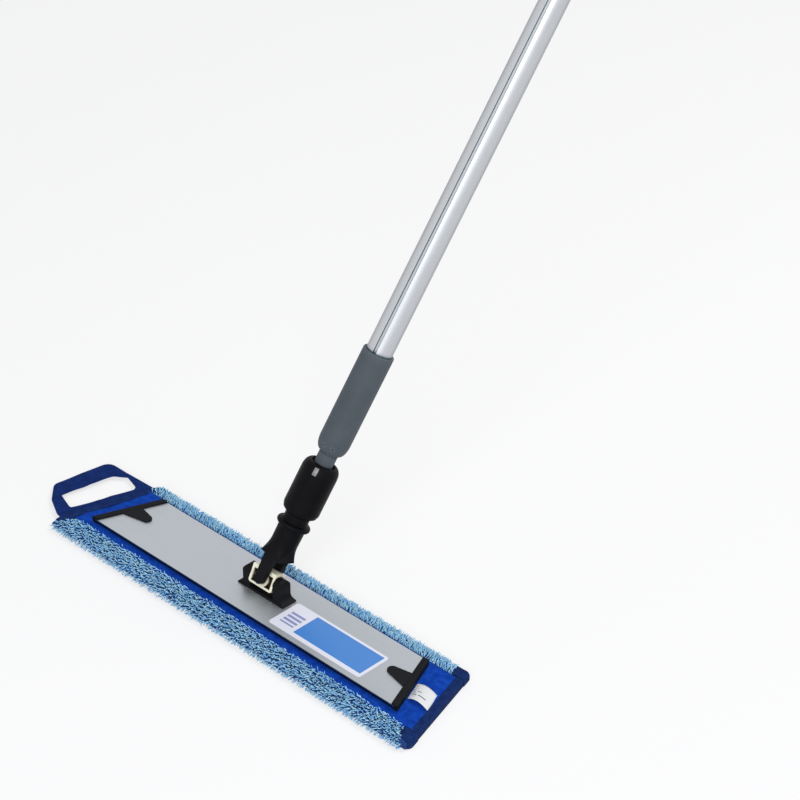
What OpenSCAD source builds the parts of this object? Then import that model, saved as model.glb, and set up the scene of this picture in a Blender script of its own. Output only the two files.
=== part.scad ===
// Flat mop: trapezoid velcro frame, gimbal joint, lock collar, telescopic pole and fringed pad.
// Millimetres. +X along the head, +Y to the short side of the head, +Z up, floor at z = 0.

/* [Pose] */
// lean of the pole towards the short side of the head, degrees
pole_pitch = 27.2; // [-60:0.1:60]
// lean of the pole along the head, degrees
pole_roll = 9; // [-25:0.1:25]

/* [Frame plate] */
// length of the long edge
plate_front = 400; // [250:1:600]
// length of the short edge
plate_back = 348; // [220:1:560]
// distance between the two edges
plate_w = 66; // [56:1:140]
// thickness of the web
plate_t = 2; // [1.2:0.1:4]
// how far the lips and ribs stand below the web
lip_h = 1.8; // [1:0.1:2.5]
// width of the lips along both edges
lip_w = 2.6; // [2:0.1:5]
// width of the two inner ribs
rib_w = 1.8; // [1:0.1:4]
// clear width between the inner ribs
channel_w = 15; // [12:0.5:26]
// thickness of the hook strips
hook_t = 2.9; // [2.6:0.1:4]
// free width left beside each hook strip
hook_gap = 0.6; // [0.2:0.1:2]

/* [End caps] */
// length of plate end that a cap covers
cap_cover = 3; // [2:0.1:10]
// how far a cap stands out past the plate end
cap_out = 4.4; // [2:0.1:6]
// thickness of a cap above the plate
cap_t = 1.7; // [1:0.1:4]
// thickness of a cap under the plate lips
cap_under = 0.7; // [0.4:0.1:1]
// step from the top of a cap down to its tongue
tongue_step = 0.1; // [0.05:0.05:0.5]
// reach of the tongue from the plate end to its tip
tongue_reach = 27.5; // [15:0.5:60]
// width of the tongue at its root
tongue_root = 19; // [12:0.5:40]
// radius of the tongue tip
tongue_tip_r = 4.8; // [3:0.1:8]
// offset of the tongue from the plate centre line
tongue_y = 1; // [-6:0.5:6]
// shank radius of the cap rivets
cap_rivet_r = 1.6; // [1:0.1:2.5]
// head radius of the cap rivets
cap_rivet_head_r = 3.2; // [2.8:0.1:5]

/* [Swivel base] */
// offset of the swivel towards the short edge
swivel_y = 3; // [-6:0.5:8]
// height of the pivot above the plate
pivot_h = 15; // [14.5:0.5:30]
// length of the foot
base_l = 60; // [54:1:90]
// depth of the foot
base_d = 17; // [15:0.2:24]
// thickness of the foot at its edge
foot_t = 1.4; // [1:0.1:3]
// thickness of the floor between the ears
base_floor = 2.4; // [1.5:0.1:3.5]
// thickness of each ear
ear_t = 9; // [6:0.5:12]
// depth of each ear
ear_d = 14.2; // [12:0.2:20]
// rise of the ears above the pivot
ear_rise = 8; // [7.5:0.5:12]
// radius of the outer top corner of an ear
ear_top_r = 6.5; // [1:0.5:7]
// height of the sweep from foot to ear
flare_h = 6; // [2:0.5:8]
// radius of the two trunnions
trunnion_r = 3; // [2:0.1:4.5]
// depth of a trunnion in the ear
trunnion_l = 7.4; // [4:0.1:8]
// radius of the two base rivets
base_rivet_r = 2; // [1.2:0.1:3]
// head radius of the base rivets
base_rivet_head_r = 4; // [3.2:0.1:6]
// thickness of every rivet head
rivet_head_t = 1.3; // [0.6:0.1:1.6]

/* [Gimbal block] */
// width of the block between the ears
block_w = 30; // [26:0.5:44]
// depth of the block
block_d = 12.4; // [11.4:0.2:13]
// height of the block under the pivot
block_down = 8.6; // [7.5:0.1:10]
// height of the block above the pivot
block_up = 9.4; // [7:0.1:11]
// thickness of the side walls
block_wall = 2.7; // [2:0.1:4]
// thickness of the bottom wall
block_floor = 2; // [1.4:0.1:2.2]
// thickness of the top wall
block_ledge = 3.6; // [2:0.1:5]
// thickness of the web between a front and a back pocket
web_t = 2.6; // [2:0.1:4]
// radius of the round boss that the fork pin passes through
boss_r = 8; // [6.5:0.1:9]
// side swing of the fork each way, degrees
swing = 30; // [15:1:32]
// gap between parts that swing past each other
swing_gap = 0.3; // [0.2:0.05:0.5]
// running clearance of a pin in its hole, on the radius
run_gap = 0.05; // [0.02:0.01:0.1]

/* [Fork and socket] */
// radius of the fork pin
fork_pin_r = 2.5; // [1.5:0.1:3]
// thickness of a prong
prong_t = 4.6; // [4:0.1:6]
// skin of prong left outside the pin end
prong_skin = 1.3; // [0.8:0.1:2]
// radius of the round prong end
prong_end_r = 5.2; // [4:0.1:5.4]
// half width of a prong where it meets the shoulder
prong_root = 7; // [5:0.1:9]
// distance from the pivot to the shoulder
shoulder_s = 24; // [22:0.5:36]
// width of the shoulder along the head
shoulder_w = 24; // [18:0.5:26]
// depth of the shoulder
shoulder_d = 22.2; // [21:0.2:24]
// flare radius of the shoulder edge
shoulder_r = 16.4; // [14:0.1:18]
// radius of the socket body
socket_r = 13; // [12.4:0.1:15]
// distance from the shoulder to the bead
socket_h = 32.5; // [26:0.5:50]
// radius of the bead
bead_r = 16.4; // [14:0.1:18]
// height of the bead
bead_h = 6; // [3:0.5:10]
// radius of the nose inside the lock collar
nose_r = 12; // [11.4:0.1:12.6]
// length of the nose past the bead
nose_h = 45; // [38:0.5:60]
// width of the slots that make the nose a collet
slot_w = 1.6; // [0.8:0.1:3]
// length of the slots
slot_h = 26; // [15:0.5:30]
// radius of the lock collar
collar_r = 17.7; // [16:0.1:20]
// gap between bead and lock collar
collar_gap = 8.5; // [6:0.5:12]
// length of the lock collar
collar_h = 54; // [48:0.5:70]
// radius of the lock collar mouth
collar_mouth_r = 11.2; // [10.2:0.1:11.8]
// height of the rounding at the collar top
collar_round = 10; // [6:0.5:14]
// width of the notch in the collar top
notch_w = 4.4; // [2:0.1:8]
// depth of the notch under the collar's outer radius
notch_d = 3; // [1:0.1:3.4]
// direction of the notch past the tube groove, degrees
notch_turn = 6; // [-40:1:40]
// depth of the chamfer at the collar bottom
collar_chamfer = 3.8; // [1:0.1:4]

/* [Cone adaptor] */
// radius of the peg in the socket
peg_r = 9; // [7:0.1:9.4]
// length of peg inside the socket
peg_in = 50; // [30:0.5:56]
// free neck between collar and cone
neck_h = 10; // [5:0.5:20]
// height of the groove above the neck
groove_h = 1.4; // [0.8:0.1:3]
// radius of the cone at its lower end
cone_r = 14.9; // [13.6:0.1:18]
// radius of the cone at its rim
cone_rim_r = 15; // [13.2:0.1:17]
// length of the cone
cone_h = 105; // [80:1:160]
// length of the rounding under the cone
cone_round = 13; // [6:0.5:20]
// length of tube held in the cone
tube_in = 54; // [30:1:70]

/* [Pole] */
// radius of the outer tube
tube_r = 12.5; // [11:0.1:13]
// wall of both tubes
tube_wall = 1.2; // [0.8:0.1:1.6]
// width of the lengthwise groove
tube_groove_w = 3.4; // [2:0.1:5]
// depth of the lengthwise groove
tube_groove_d = 1; // [0.5:0.1:1.5]
// direction of the groove round the tube, degrees
tube_groove_turn = -71; // [-180:1:180]
// sliding gap between the tubes, on the radius
slide_gap = 0.1; // [0.05:0.01:0.3]
// length of the outer tube
outer_len = 706; // [500:1:1200]
// length of inner tube still held when it is drawn right out
inner_hold = 132; // [100:1:300]
// length of inner tube that stands out when stored
inner_out = 150; // [130:1:250]
// travel of the inner tube
telescope = 430; // [200:1:500]
// length of the guide plug under the inner tube
plug_h = 22; // [12:1:40]
// length of the ferrule on the outer tube
ferrule_h = 46; // [30:1:70]
// radius of the ferrule
ferrule_r = 15; // [14.4:0.1:18]
// length of ferrule nose under the twist collar
ferrule_nose = 26; // [15:1:34]
// radius of the ferrule nose
ferrule_nose_r = 13.9; // [13.7:0.05:14.2]
// length of the twist collar
twist_h = 38; // [28:1:60]
// radius of the twist collar
twist_r = 16.6; // [15.6:0.1:20]
// ribs round the twist collar
twist_ribs = 16; // [8:1:24]
// length of the grip
grip_h = 118; // [80:1:124]
// radius of the grip
grip_r = 14.6; // [13:0.1:19]
// finger grooves in the grip
grip_grooves = 6; // [3:1:10]
// radius of the knob on top
knob_r = 15; // [14:0.1:20]
// height of the hanging hole over the grip
eye_h = 21.5; // [19.5:0.5:40]
// radius of the hanging eye
eye_r = 10.5; // [8.5:0.1:14]
// thickness of the hanging tab
tab_t = 9; // [5:0.5:14]
// radius of the hanging hole
hang_r = 5; // [3:0.1:6]

/* [Pad] */
// how far the pad passes the plate at each end of the long edge
pad_over_front = 38.5; // [20:0.5:60]
// how far the pad passes the plate at each end of the short edge
pad_over_back = 32.5; // [20:0.5:60]
// how far the pad passes the plate on each long side, fringe included
pad_over_side = 22.5; // [16:0.5:40]
// offset of the pad along the head
pad_x = 3; // [-10:0.5:10]
// offset of the pad across the head
pad_y = -2; // [-5:0.5:5]
// width of each fringe
fringe_w = 16; // [8:0.5:19]
// height of the fringes
fringe_h = 8.6; // [5:0.1:14]
// height of the pile
pile_h = 5; // [2:0.1:12]
// thickness of the backing
backing_t = 1.5; // [0.8:0.1:4]
// thickness of the loop face
face_t = 1.5; // [0.8:0.1:4]
// gap between the hooks and the loop face
pad_gap = 0.1; // [0.05:0.05:0.3]
// width of the bindings along the ends
binding_w = 9; // [6:0.5:14]
// thickness of the bindings outside the pad
binding_t = 0.7; // [0.4:0.1:1.2]
// clear height of the binding over the floor
binding_lift = 0.6; // [0.2:0.1:1.5]
// width of the folded tape end at each corner
fold_w = 14; // [10:0.5:20]
// thickness of the folded tape end over the binding
fold_t = 0.6; // [0.3:0.1:1.2]
// radius of the front pad corners
pad_front_r = 8; // [4:0.5:14]
// radius of the back pad corners
pad_back_r = 5; // [3:0.5:14]

/* [Hang loop, tag and label] */
// reach of the hang loop past the pad end, at its front corner
loop_reach = 64.5; // [50:0.5:80]
// how much less the loop reaches at its back corner
loop_skew = 10; // [0:0.5:20]
// distance from the pad's back edge in to the back edge of the loop
loop_back_in = 6.5; // [5:0.5:14]
// distance from the pad's front edge in to the front edge of the loop's root
loop_front_in = 8.5; // [7:0.5:16]
// distance from the pad centre line to the front corner of the loop
loop_front = 13; // [8:0.5:20]
// width of the webbing along the far side
web_w = 20; // [14:0.5:24]
// width of the webbing along the front side
web_front_w = 13; // [10:0.5:18]
// width of the webbing between the gap and the pad end
web_root_w = 12; // [8:0.5:16]
// thickness of the webbing
web_th = 1.8; // [1:0.1:3]
// height of the webbing over the floor
web_z = 3; // [1:0.1:3]
// width of the webbing along the back side
web_back_w = 4; // [3:0.5:8]
// how much wider the webbing is at its far back corner
web_far_extra = 1; // [0:0.5:3]
// how far the loop's back corner runs in under the binding
loop_under = 6; // [2:0.5:8]
// how far the loop flares out at its back root
loop_flare = 2; // [0:0.5:3]
// radius of the far loop corners
loop_r = 10; // [4:0.5:16]
// radius of the first bend along the loop's front edge
loop_bend_r = 20; // [8:0.5:30]
// radius of the second bend along the loop's front edge
loop_ease_r = 12; // [6:0.5:20]
// radius of the loop's root corners
loop_root_r = 1; // [0.5:0.5:3]
// how far the gap's front corner leans away from the root
gap_lean = 6; // [0:0.5:10]
// how far the gap's root corner stays from its back edge
gap_root_in = 1; // [0.5:0.5:4]
// length of the slanted far back side of the gap along the loop
gap_cut_l = 22; // [12:0.5:30]
// depth of the slanted far back side of the gap
gap_cut_d = 9; // [4:0.5:12]
// radius of the gap's sharp corners
gap_r = 2; // [1:0.5:4]
// radius of the gap's front corner
gap_front_r = 3; // [1:0.5:6]
// radius of the gap's root corner
gap_root_r = 5; // [1:0.5:8]
// radius of the gap's far back corner
gap_far_r = 8; // [2:0.5:10]
// length of the care tag
tag_l = 21; // [15:0.5:40]
// width of the care tag
tag_w = 21; // [12:0.5:40]
// thickness of the care tag
tag_t = 0.4; // [0.2:0.1:0.8]
// height of the arch that the care tag makes
tag_rise = 3.6; // [2:0.1:6]
// gap between cap and care tag
tag_gap = 0.6; // [0.3:0.1:3]
// offset of the care tag across the pad
tag_y = -3; // [-20:0.5:20]
// length of the plate label
label_l = 117; // [60:1:125]
// width of the plate label
label_w = 38.5; // [20:0.5:44]
// thickness of the plate label
label_t = 0.25; // [0.15:0.05:0.5]
// gap between the swivel foot and the label
label_gap = 3.5; // [1:0.5:8]
// offset of the label across the plate
label_y = -8; // [-12:0.5:12]

/* [Hidden] */
$fn = 64;
eps = 0.01;
big = 900;

// heights through pad and plate
z_backing = pile_h;
z_face = z_backing + backing_t;
z_pad_top = z_face + face_t;
z_hook = z_pad_top + pad_gap;
z_web = z_hook + hook_t;
z_plate = z_web + plate_t;
z_lip = z_web - lip_h;
pivot = [0, swivel_y, z_plate + pivot_h];

// plan of the plate: half length at a distance y from the centre line, and the slant of its ends
function half_at(front, back, w, y) = (front + back) / 4 - (front - back) / 2 * y / w;
end_turn = atan((plate_front - plate_back) / 2 / plate_w);
end_mid = (plate_front + plate_back) / 4;
pad_front = plate_front + 2 * pad_over_front;
pad_back = plate_back + 2 * pad_over_back;
pad_w = plate_w + 2 * pad_over_side;
pad_slant = (pad_front - pad_back) / 2 / pad_w;
pad_turn = atan(pad_slant);
pad_mid = (pad_front + pad_back) / 4;

// swivel
ear_in = block_w / 2 + swing_gap;
ear_out = ear_in + ear_t;
ear_top = pivot_h + ear_rise;
rivet_x = (ear_in + ear_out) / 2;
prong_in = block_d / 2 + swing_gap;
prong_out = prong_in + prong_t;

// distances along the pole from the pivot
s_bead = shoulder_s + socket_h;
s_nose = s_bead + bead_h;
s_nose_top = s_nose + nose_h;
s_collar = s_nose + collar_gap;
s_collar_top = s_collar + collar_h;
s_neck_top = s_collar_top + neck_h;
s_cone = s_neck_top + groove_h;
s_rim = s_cone + cone_h;
s_peg = s_nose_top - peg_in;
s_tube = s_rim - tube_in;
s_tube_top = s_tube + outer_len;
s_ferrule = s_tube_top - ferrule_h;
s_twist = s_tube_top - ferrule_nose;
s_twist_top = s_twist + twist_h;
s_inner_top = s_tube_top + inner_out;
inner_len = inner_out + telescope + inner_hold;
s_inner = s_inner_top - inner_len;
s_grip = s_inner_top - grip_h;
inner_r = tube_r - tube_wall - slide_gap;

// fork prong: the angle of its edges, tangent to the round end
prong_reach = sqrt(prong_root * prong_root + shoulder_s * shoulder_s);
prong_tilt = acos(prong_end_r / prong_reach) - atan(shoulder_s / prong_root);
// tongue of an end cap: the same, from its root to its tip circle
tongue_mid = tongue_reach - tongue_tip_r;
tongue_hyp = sqrt(pow(tongue_root / 2, 2) + pow(tongue_mid, 2));
tongue_tilt = acos(tongue_tip_r / tongue_hyp) - atan(tongue_mid / (tongue_root / 2));

module at_block() translate(pivot) rotate([-pole_pitch, 0, 0]) children();
module at_pole() at_block() rotate([0, pole_roll, 0]) children();
module mirror_if(side) if (side < 0) mirror([1, 0, 0]) children(); else children();

module trapezoid(front, back, w) {
    polygon([[-front / 2, -w / 2], [front / 2, -w / 2], [back / 2, w / 2], [-back / 2, w / 2]]);
}
// a section drawn in the YZ plane, drawn out along X
module along_x(length) rotate([90, 0, 90]) linear_extrude(height = length, center = true) children();
// a plan of the block or fork seen from the front, drawn out along Y from y0 to y1
module along_y(y0, y1) translate([0, y1, 0]) rotate([90, 0, 0]) linear_extrude(height = y1 - y0) children();
// an outline whose corners, each [x, y, radius] and all turning left, are rounded off
function unit(a, b) = [b[0] - a[0], b[1] - a[1]] / norm([b[0] - a[0], b[1] - a[1]]);
function corner(a, p, b, n) = let (u = unit(p, a), v = unit(p, b), half = acos(u * v) / 2,
    m = unit([0, 0], u + v) * p[2] / sin(half), start = atan2(u[1] / tan(half) * p[2] - m[1],
    u[0] / tan(half) * p[2] - m[0])) arc(p[0] + m[0], p[1] + m[1], p[2], start, start + 2 * (90 - half), n);
function rounded(q, n = 5) = [for (i = [0 : len(q) - 1])
    each corner(q[(i + len(q) - 1) % len(q)], q[i], q[(i + 1) % len(q)], n)];
function arc(cx, cy, r, a0, a1, n = 8) = [for (i = [0 : n]) let (a = a0 + (a1 - a0) * i / n)
    [cx + r * cos(a), cy + r * sin(a)]];

// ---- frame plate: extruded section cut to a trapezoid ----
module plate_section() {
    translate([-plate_w / 2, 0]) square([plate_w, plate_t]);
    for (s = [-1, 1]) {
        translate([s * (plate_w / 2 - lip_w / 2) - lip_w / 2, -lip_h]) square([lip_w, lip_h + plate_t / 2]);
        translate([s * (channel_w / 2 + rib_w / 2) - rib_w / 2, -lip_h]) square([rib_w, lip_h + plate_t / 2]);
    }
}
module plate_blank() {
    intersection() {
        translate([0, 0, z_web]) along_x(plate_front) plate_section();
        translate([0, 0, z_lip]) linear_extrude(height = lip_h + plate_t) trapezoid(plate_front, plate_back, plate_w);
    }
}
module frame_plate() color([0.78, 0.79, 0.8]) difference() {
    plate_blank();
    for (s = [-1, 1]) {
        translate([s * rivet_x, swivel_y, z_lip]) cylinder(r = base_rivet_r, h = lip_h + plate_t + 1);
        translate([s * cap_rivet_x, tongue_y, z_lip]) cylinder(r = cap_rivet_r, h = lip_h + plate_t + 1);
    }
}

// ---- end caps: a clip along the slanted end with a tongue over the plate ----
cap_rivet_x = end_mid - tongue_reach / 2;
tongue_x = end_mid - tongue_mid;
module tongue_plan() {
    translate([0, tongue_y]) {
        translate([tongue_x, 0]) circle(r = tongue_tip_r);
        polygon([[end_mid, -tongue_root / 2], [end_mid, tongue_root / 2],
            [tongue_x - tongue_tip_r * sin(tongue_tilt), tongue_tip_r * cos(tongue_tilt)],
            [tongue_x - tongue_tip_r * sin(tongue_tilt), -tongue_tip_r * cos(tongue_tilt)]]);
    }
}
module cap_clip() {
    h = z_plate + cap_t - z_lip + cap_under;
    intersection() {
        translate([end_mid, 0, z_lip - cap_under]) rotate([0, 0, end_turn]) rotate([90, 0, 0])
            linear_extrude(height = 2 * plate_w, center = true) polygon(concat(
                [[-cap_cover * cos(end_turn), 0], [cap_out * cos(end_turn) - 1, 0]],
                arc(cap_out * cos(end_turn) - 1, 1, 1, -90, 0, 4),
                arc(cap_out * cos(end_turn) - 1.4, h - 1.4, 1.4, 0, 90, 6),
                [[-cap_cover * cos(end_turn) + 0.4, h], [-cap_cover * cos(end_turn), h - 0.4]]));
        translate([end_mid - big / 2, -plate_w / 2, 0]) cube([big, plate_w, big]);
    }
}
module end_cap(side) color([0.06, 0.06, 0.07]) mirror_if(side) difference() {
    union() {
        cap_clip();
        difference() {
            translate([0, 0, z_plate]) linear_extrude(height = cap_t - tongue_step) tongue_plan();
            translate([end_mid + cap_out / 2, 0, 0]) rotate([0, 0, end_turn]) translate([0, -plate_w, 0])
                cube([big, 2 * plate_w, big]);
        }
    }
    plate_blank();
    translate([cap_rivet_x, tongue_y, z_lip]) cylinder(r = cap_rivet_r, h = z_plate + cap_t / 2 - z_lip);
}
// a rivet set from below, its head in the channel under the web
module rivet(x, y, shank_r, head_r, up) {
    translate([x, y, z_web]) {
        cylinder(r = shank_r, h = plate_t + up);
        translate([0, 0, -rivet_head_t]) cylinder(r1 = head_r * 0.8, r2 = head_r, h = rivet_head_t);
    }
}
module cap_rivet(side) color([0.7, 0.71, 0.72])
    rivet(side * cap_rivet_x, tongue_y, cap_rivet_r, cap_rivet_head_r, cap_t / 2);

// ---- hook strips in the two outer channels ----
hook_in = channel_w / 2 + rib_w + hook_gap;
hook_out = plate_w / 2 - lip_w - hook_gap;
module hook_strip(side) color([0.1, 0.1, 0.12]) translate([0, 0, z_hook]) linear_extrude(height = hook_t)
    intersection() {
        trapezoid(plate_front - 2 * (cap_cover + 1) / cos(end_turn), plate_back - 2 * (cap_cover + 1) / cos(end_turn),
            plate_w);
        translate([-big / 2, side > 0 ? hook_in : -hook_out]) square([big, hook_out - hook_in]);
    }

// ---- printed label on the plate ----
module info_label() color([0.93, 0.93, 0.97])
    translate([base_l / 2 + label_gap, label_y - label_w / 2, z_plate]) cube([label_l, label_w, label_t]);

// ---- swivel base: foot, two flared ears, blind trunnion holes ----
module base_front() {
    q = concat([[base_l / 2, 0]],
        [for (i = [0 : 8]) [ear_out + (base_l / 2 - ear_out) * pow(1 - i / 8, 2), foot_t + flare_h * i / 8]],
        arc(ear_out - ear_top_r, ear_top - ear_top_r, ear_top_r, 0, 90, 8),
        [[ear_in + 0.6, ear_top], [ear_in, ear_top - 0.6], [ear_in, base_floor + 1.5]],
        [[ear_in - 1.5, base_floor]]);
    n = len(q) - 1;
    polygon(concat(q, [for (i = [0 : n]) [-q[n - i][0], q[n - i][1]]]));
}
module base_side() {
    q = concat([[base_d / 2, 0]],
        [for (i = [0 : 5]) [ear_d / 2 + (base_d - ear_d) / 2 * pow(1 - i / 5, 2), foot_t + flare_h * 0.6 * i / 5]],
        [[ear_d / 2, pivot_h]]);
    n = len(q) - 1;
    polygon(concat(q, [for (i = [0 : n]) [-q[n - i][0], q[n - i][1]]]));
    intersection() {
        translate([0, pivot_h]) circle(r = ear_rise);
        translate([-ear_d / 2, foot_t]) square([ear_d, ear_top]);
    }
}
module swivel_base() color([0.07, 0.07, 0.08]) translate([0, swivel_y, z_plate]) difference() {
    intersection() {
        along_y(-base_d, base_d) base_front();
        along_x(base_l) base_side();
    }
    for (s = [-1, 1]) {
        mirror_if(s) translate([ear_in - 1, 0, pivot_h]) rotate([0, 90, 0])
            cylinder(r = trunnion_r, h = 1 + min(trunnion_l, ear_t - 1.2));
        translate([s * rivet_x, 0, -1]) cylinder(r = base_rivet_r, h = 1 + foot_t + flare_h);
    }
}
module base_rivet(side) color([0.7, 0.71, 0.72])
    rivet(side * rivet_x, swivel_y, base_rivet_r, base_rivet_head_r, foot_t + flare_h);
module trunnion(side) color([0.72, 0.73, 0.74]) translate(pivot) mirror_if(side)
    translate([block_w / 2 - block_wall + 0.2, 0, 0]) rotate([0, 90, 0])
        cylinder(r = trunnion_r, h = block_wall - 0.2 + swing_gap + min(trunnion_l, ear_t - 1.2));

// ---- gimbal block: solid between its pockets, with a round boss for the fork pin ----
module prong_plan(grow, top) {
    a = prong_tilt;
    r = prong_end_r + grow;
    k = top * tan(a);
    circle(r = r);
    polygon([[-r / cos(a) - k, top], [r / cos(a) + k, top], [r * cos(a), -r * sin(a)], [-r * cos(a), -r * sin(a)]]);
}
// pockets left and right of the round boss
module block_pockets() difference() {
    x = block_w / 2 - block_wall;
    translate([-x, block_floor - block_down])
        square([2 * x, block_down - block_floor + block_up - block_ledge]);
    circle(r = boss_r);
}
module gimbal_block() color([0.93, 0.9, 0.8]) at_block() difference() {
    along_y(-block_d / 2, block_d / 2) difference() {
        translate([-block_w / 2, -block_down]) square([block_w, block_down + block_up]);
        for (s = [-1, 1]) translate([s * block_w / 2, -block_down]) rotate(45) square(2.4, center = true);
    }
    along_y(-block_d, -web_t / 2) block_pockets();
    along_y(web_t / 2, block_d) block_pockets();
    for (s = [-1, 1]) mirror_if(s) translate([block_w / 2 - block_wall, 0, 0]) rotate([0, 90, 0])
        cylinder(r = trunnion_r + run_gap, h = block_wall + 1);
    rotate([90, 0, 0]) cylinder(r = fork_pin_r, h = block_d + 2, center = true);
}
pin_half = prong_out - prong_skin;
module fork_pin() color([0.72, 0.73, 0.74]) at_block() rotate([90, 0, 0])
    cylinder(r = fork_pin_r, h = 2 * pin_half - 0.2, center = true);

// ---- yoke: two prongs, shoulder, socket, bead and slotted nose ----
module shoulder() {
    intersection() {
        rotate_extrude() polygon(concat([[0, shoulder_s], [shoulder_r, shoulder_s], [shoulder_r, shoulder_s + 0.8]],
            [for (i = [1 : 8]) [socket_r - 0.3 + (shoulder_r - socket_r + 0.3) * pow(1 - i / 8, 2),
                shoulder_s + 0.8 + socket_h * 0.5 * i / 8]],
            [[0, shoulder_s + 0.8 + socket_h * 0.5]]));
        hull() {
            translate([-shoulder_w / 2, -shoulder_d / 2, shoulder_s]) cube([shoulder_w, shoulder_d, 1]);
            translate([-socket_r, -socket_r, shoulder_s + socket_h * 0.6]) cube([2 * socket_r, 2 * socket_r, 1]);
        }
    }
}
module yoke() color([0.07, 0.07, 0.08]) at_pole() difference() {
    union() {
        shoulder();
        rotate_extrude() polygon(concat(
            [[0, shoulder_s + socket_h * 0.4], [socket_r - 0.3, shoulder_s + socket_h * 0.5]],
            [[socket_r, s_bead - 1.5], [socket_r + 0.4, s_bead]],
            arc(bead_r - bead_h / 2.4, s_bead + bead_h / 2, bead_h / 2.4, -60, 60, 8),
            [[nose_r + 0.6, s_nose], [nose_r, s_nose + 0.8], [nose_r, s_nose_top - 3], [nose_r - 1.8, s_nose_top]],
            [[0, s_nose_top]]));
        for (s = [-1, 1]) intersection() {
            mirror([0, s < 0 ? 1 : 0, 0]) along_y(prong_in, prong_out)
                prong_plan(0, shoulder_s + 1);
            rotate_extrude() polygon([[0, -prong_end_r - 1], [shoulder_r, -prong_end_r - 1],
                [shoulder_r, s_bead], [0, s_bead]]);
        }
    }
    translate([0, 0, s_peg]) cylinder(r = peg_r + run_gap, h = s_nose_top);
    rotate([90, 0, 0]) cylinder(r = fork_pin_r + run_gap, h = 2 * pin_half, center = true);
    for (a = [0, 90]) rotate(a) translate([-slot_w / 2, -big / 2, s_nose_top - slot_h])
        cube([slot_w, big, slot_h + 1]);
}

// ---- lock collar ----
module lock_collar() color([0.06, 0.06, 0.07]) at_pole() difference() {
    rotate_extrude() polygon(concat(
        [[nose_r + run_gap, s_collar], [collar_r - collar_chamfer, s_collar]],
        [[collar_r - collar_chamfer * 0.35, s_collar + collar_chamfer * 0.5], [collar_r, s_collar + collar_chamfer * 1.5]],
        [for (i = [0 : 8]) [collar_mouth_r + 1.2 + (collar_r - collar_mouth_r - 1.2) * cos(90 * i / 8),
            s_collar_top - collar_round + (collar_round - 0.4) * sin(90 * i / 8)]],
        [[collar_mouth_r + 0.5, s_collar_top], [collar_mouth_r, s_collar_top - 0.5]],
        [[collar_mouth_r, s_nose_top + 3.4], [nose_r + run_gap, s_nose_top - 0.4]]));
    rotate(tube_groove_turn + notch_turn) translate([collar_r - notch_d, -notch_w / 2, s_collar_top - collar_round])
        cube([5, notch_w, collar_round + 1]);
}

// ---- cone adaptor ----
module cone_adaptor() color([0.36, 0.39, 0.42]) at_pole() difference() {
    rotate_extrude() polygon(concat([[0, s_peg], [peg_r - 1, s_peg], [peg_r, s_peg + 1.5]],
        [[peg_r, s_neck_top], [peg_r - 0.5, s_neck_top + 0.2], [peg_r - 0.5, s_cone - 0.2], [peg_r + 0.5, s_cone]],
        [for (i = [0 : 10]) [peg_r + 0.8 + (cone_r - peg_r - 0.8) * sin(90 * i / 10),
            s_cone + 0.4 + cone_round * (1 - cos(90 * i / 10))]],
        [[cone_rim_r, s_rim - 0.8], [cone_rim_r - 0.5, s_rim], [0, s_rim]]));
    translate([0, 0, s_tube]) cylinder(r = tube_r, h = tube_in + 1);
    for (a = [-14, 24]) rotate(tube_groove_turn + a) translate([cone_r - 3, 0, s_cone + cone_round * 0.62])
        rotate([0, 90, 0]) cylinder(r = 0.6, h = 5);
}

// ---- tubes with one lengthwise groove ----
module tube_ring(r, wall, fit) {
    difference() {
        circle(r = r);
        translate([r, 0]) square([2 * (tube_groove_d + fit), tube_groove_w + 2 * fit], center = true);
    }
}
module tube_plan(r, fit) difference() {
    tube_ring(r, tube_wall, fit);
    difference() {
        circle(r = r - tube_wall);
        translate([r - tube_groove_d, 0])
            square([2 * (tube_wall + fit), tube_groove_w + 2 * (tube_wall + fit)], center = true);
    }
}
module outer_tube() color([0.78, 0.79, 0.81]) at_pole() rotate(tube_groove_turn)
    translate([0, 0, s_tube]) linear_extrude(height = outer_len) tube_plan(tube_r, 0);
inner_fit = tube_wall + slide_gap;
module inner_plan() difference() {
    circle(r = inner_r);
    translate([inner_r, 0]) square([2 * (tube_groove_d + slide_gap), tube_groove_w + 2 * inner_fit], center = true);
}
module inner_tube() color([0.8, 0.81, 0.83]) at_pole() rotate(tube_groove_turn)
    translate([0, 0, s_inner]) linear_extrude(height = inner_len) difference() {
        inner_plan();
        difference() {
            circle(r = inner_r - tube_wall);
            translate([inner_r, 0]) square([2 * (tube_groove_d + slide_gap + tube_wall),
                tube_groove_w + 2 * (inner_fit + tube_wall)], center = true);
        }
    }
module guide_plug() color([0.1, 0.1, 0.11]) at_pole() rotate(tube_groove_turn)
    translate([0, 0, s_inner - plug_h]) linear_extrude(height = plug_h) inner_plan();

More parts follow.
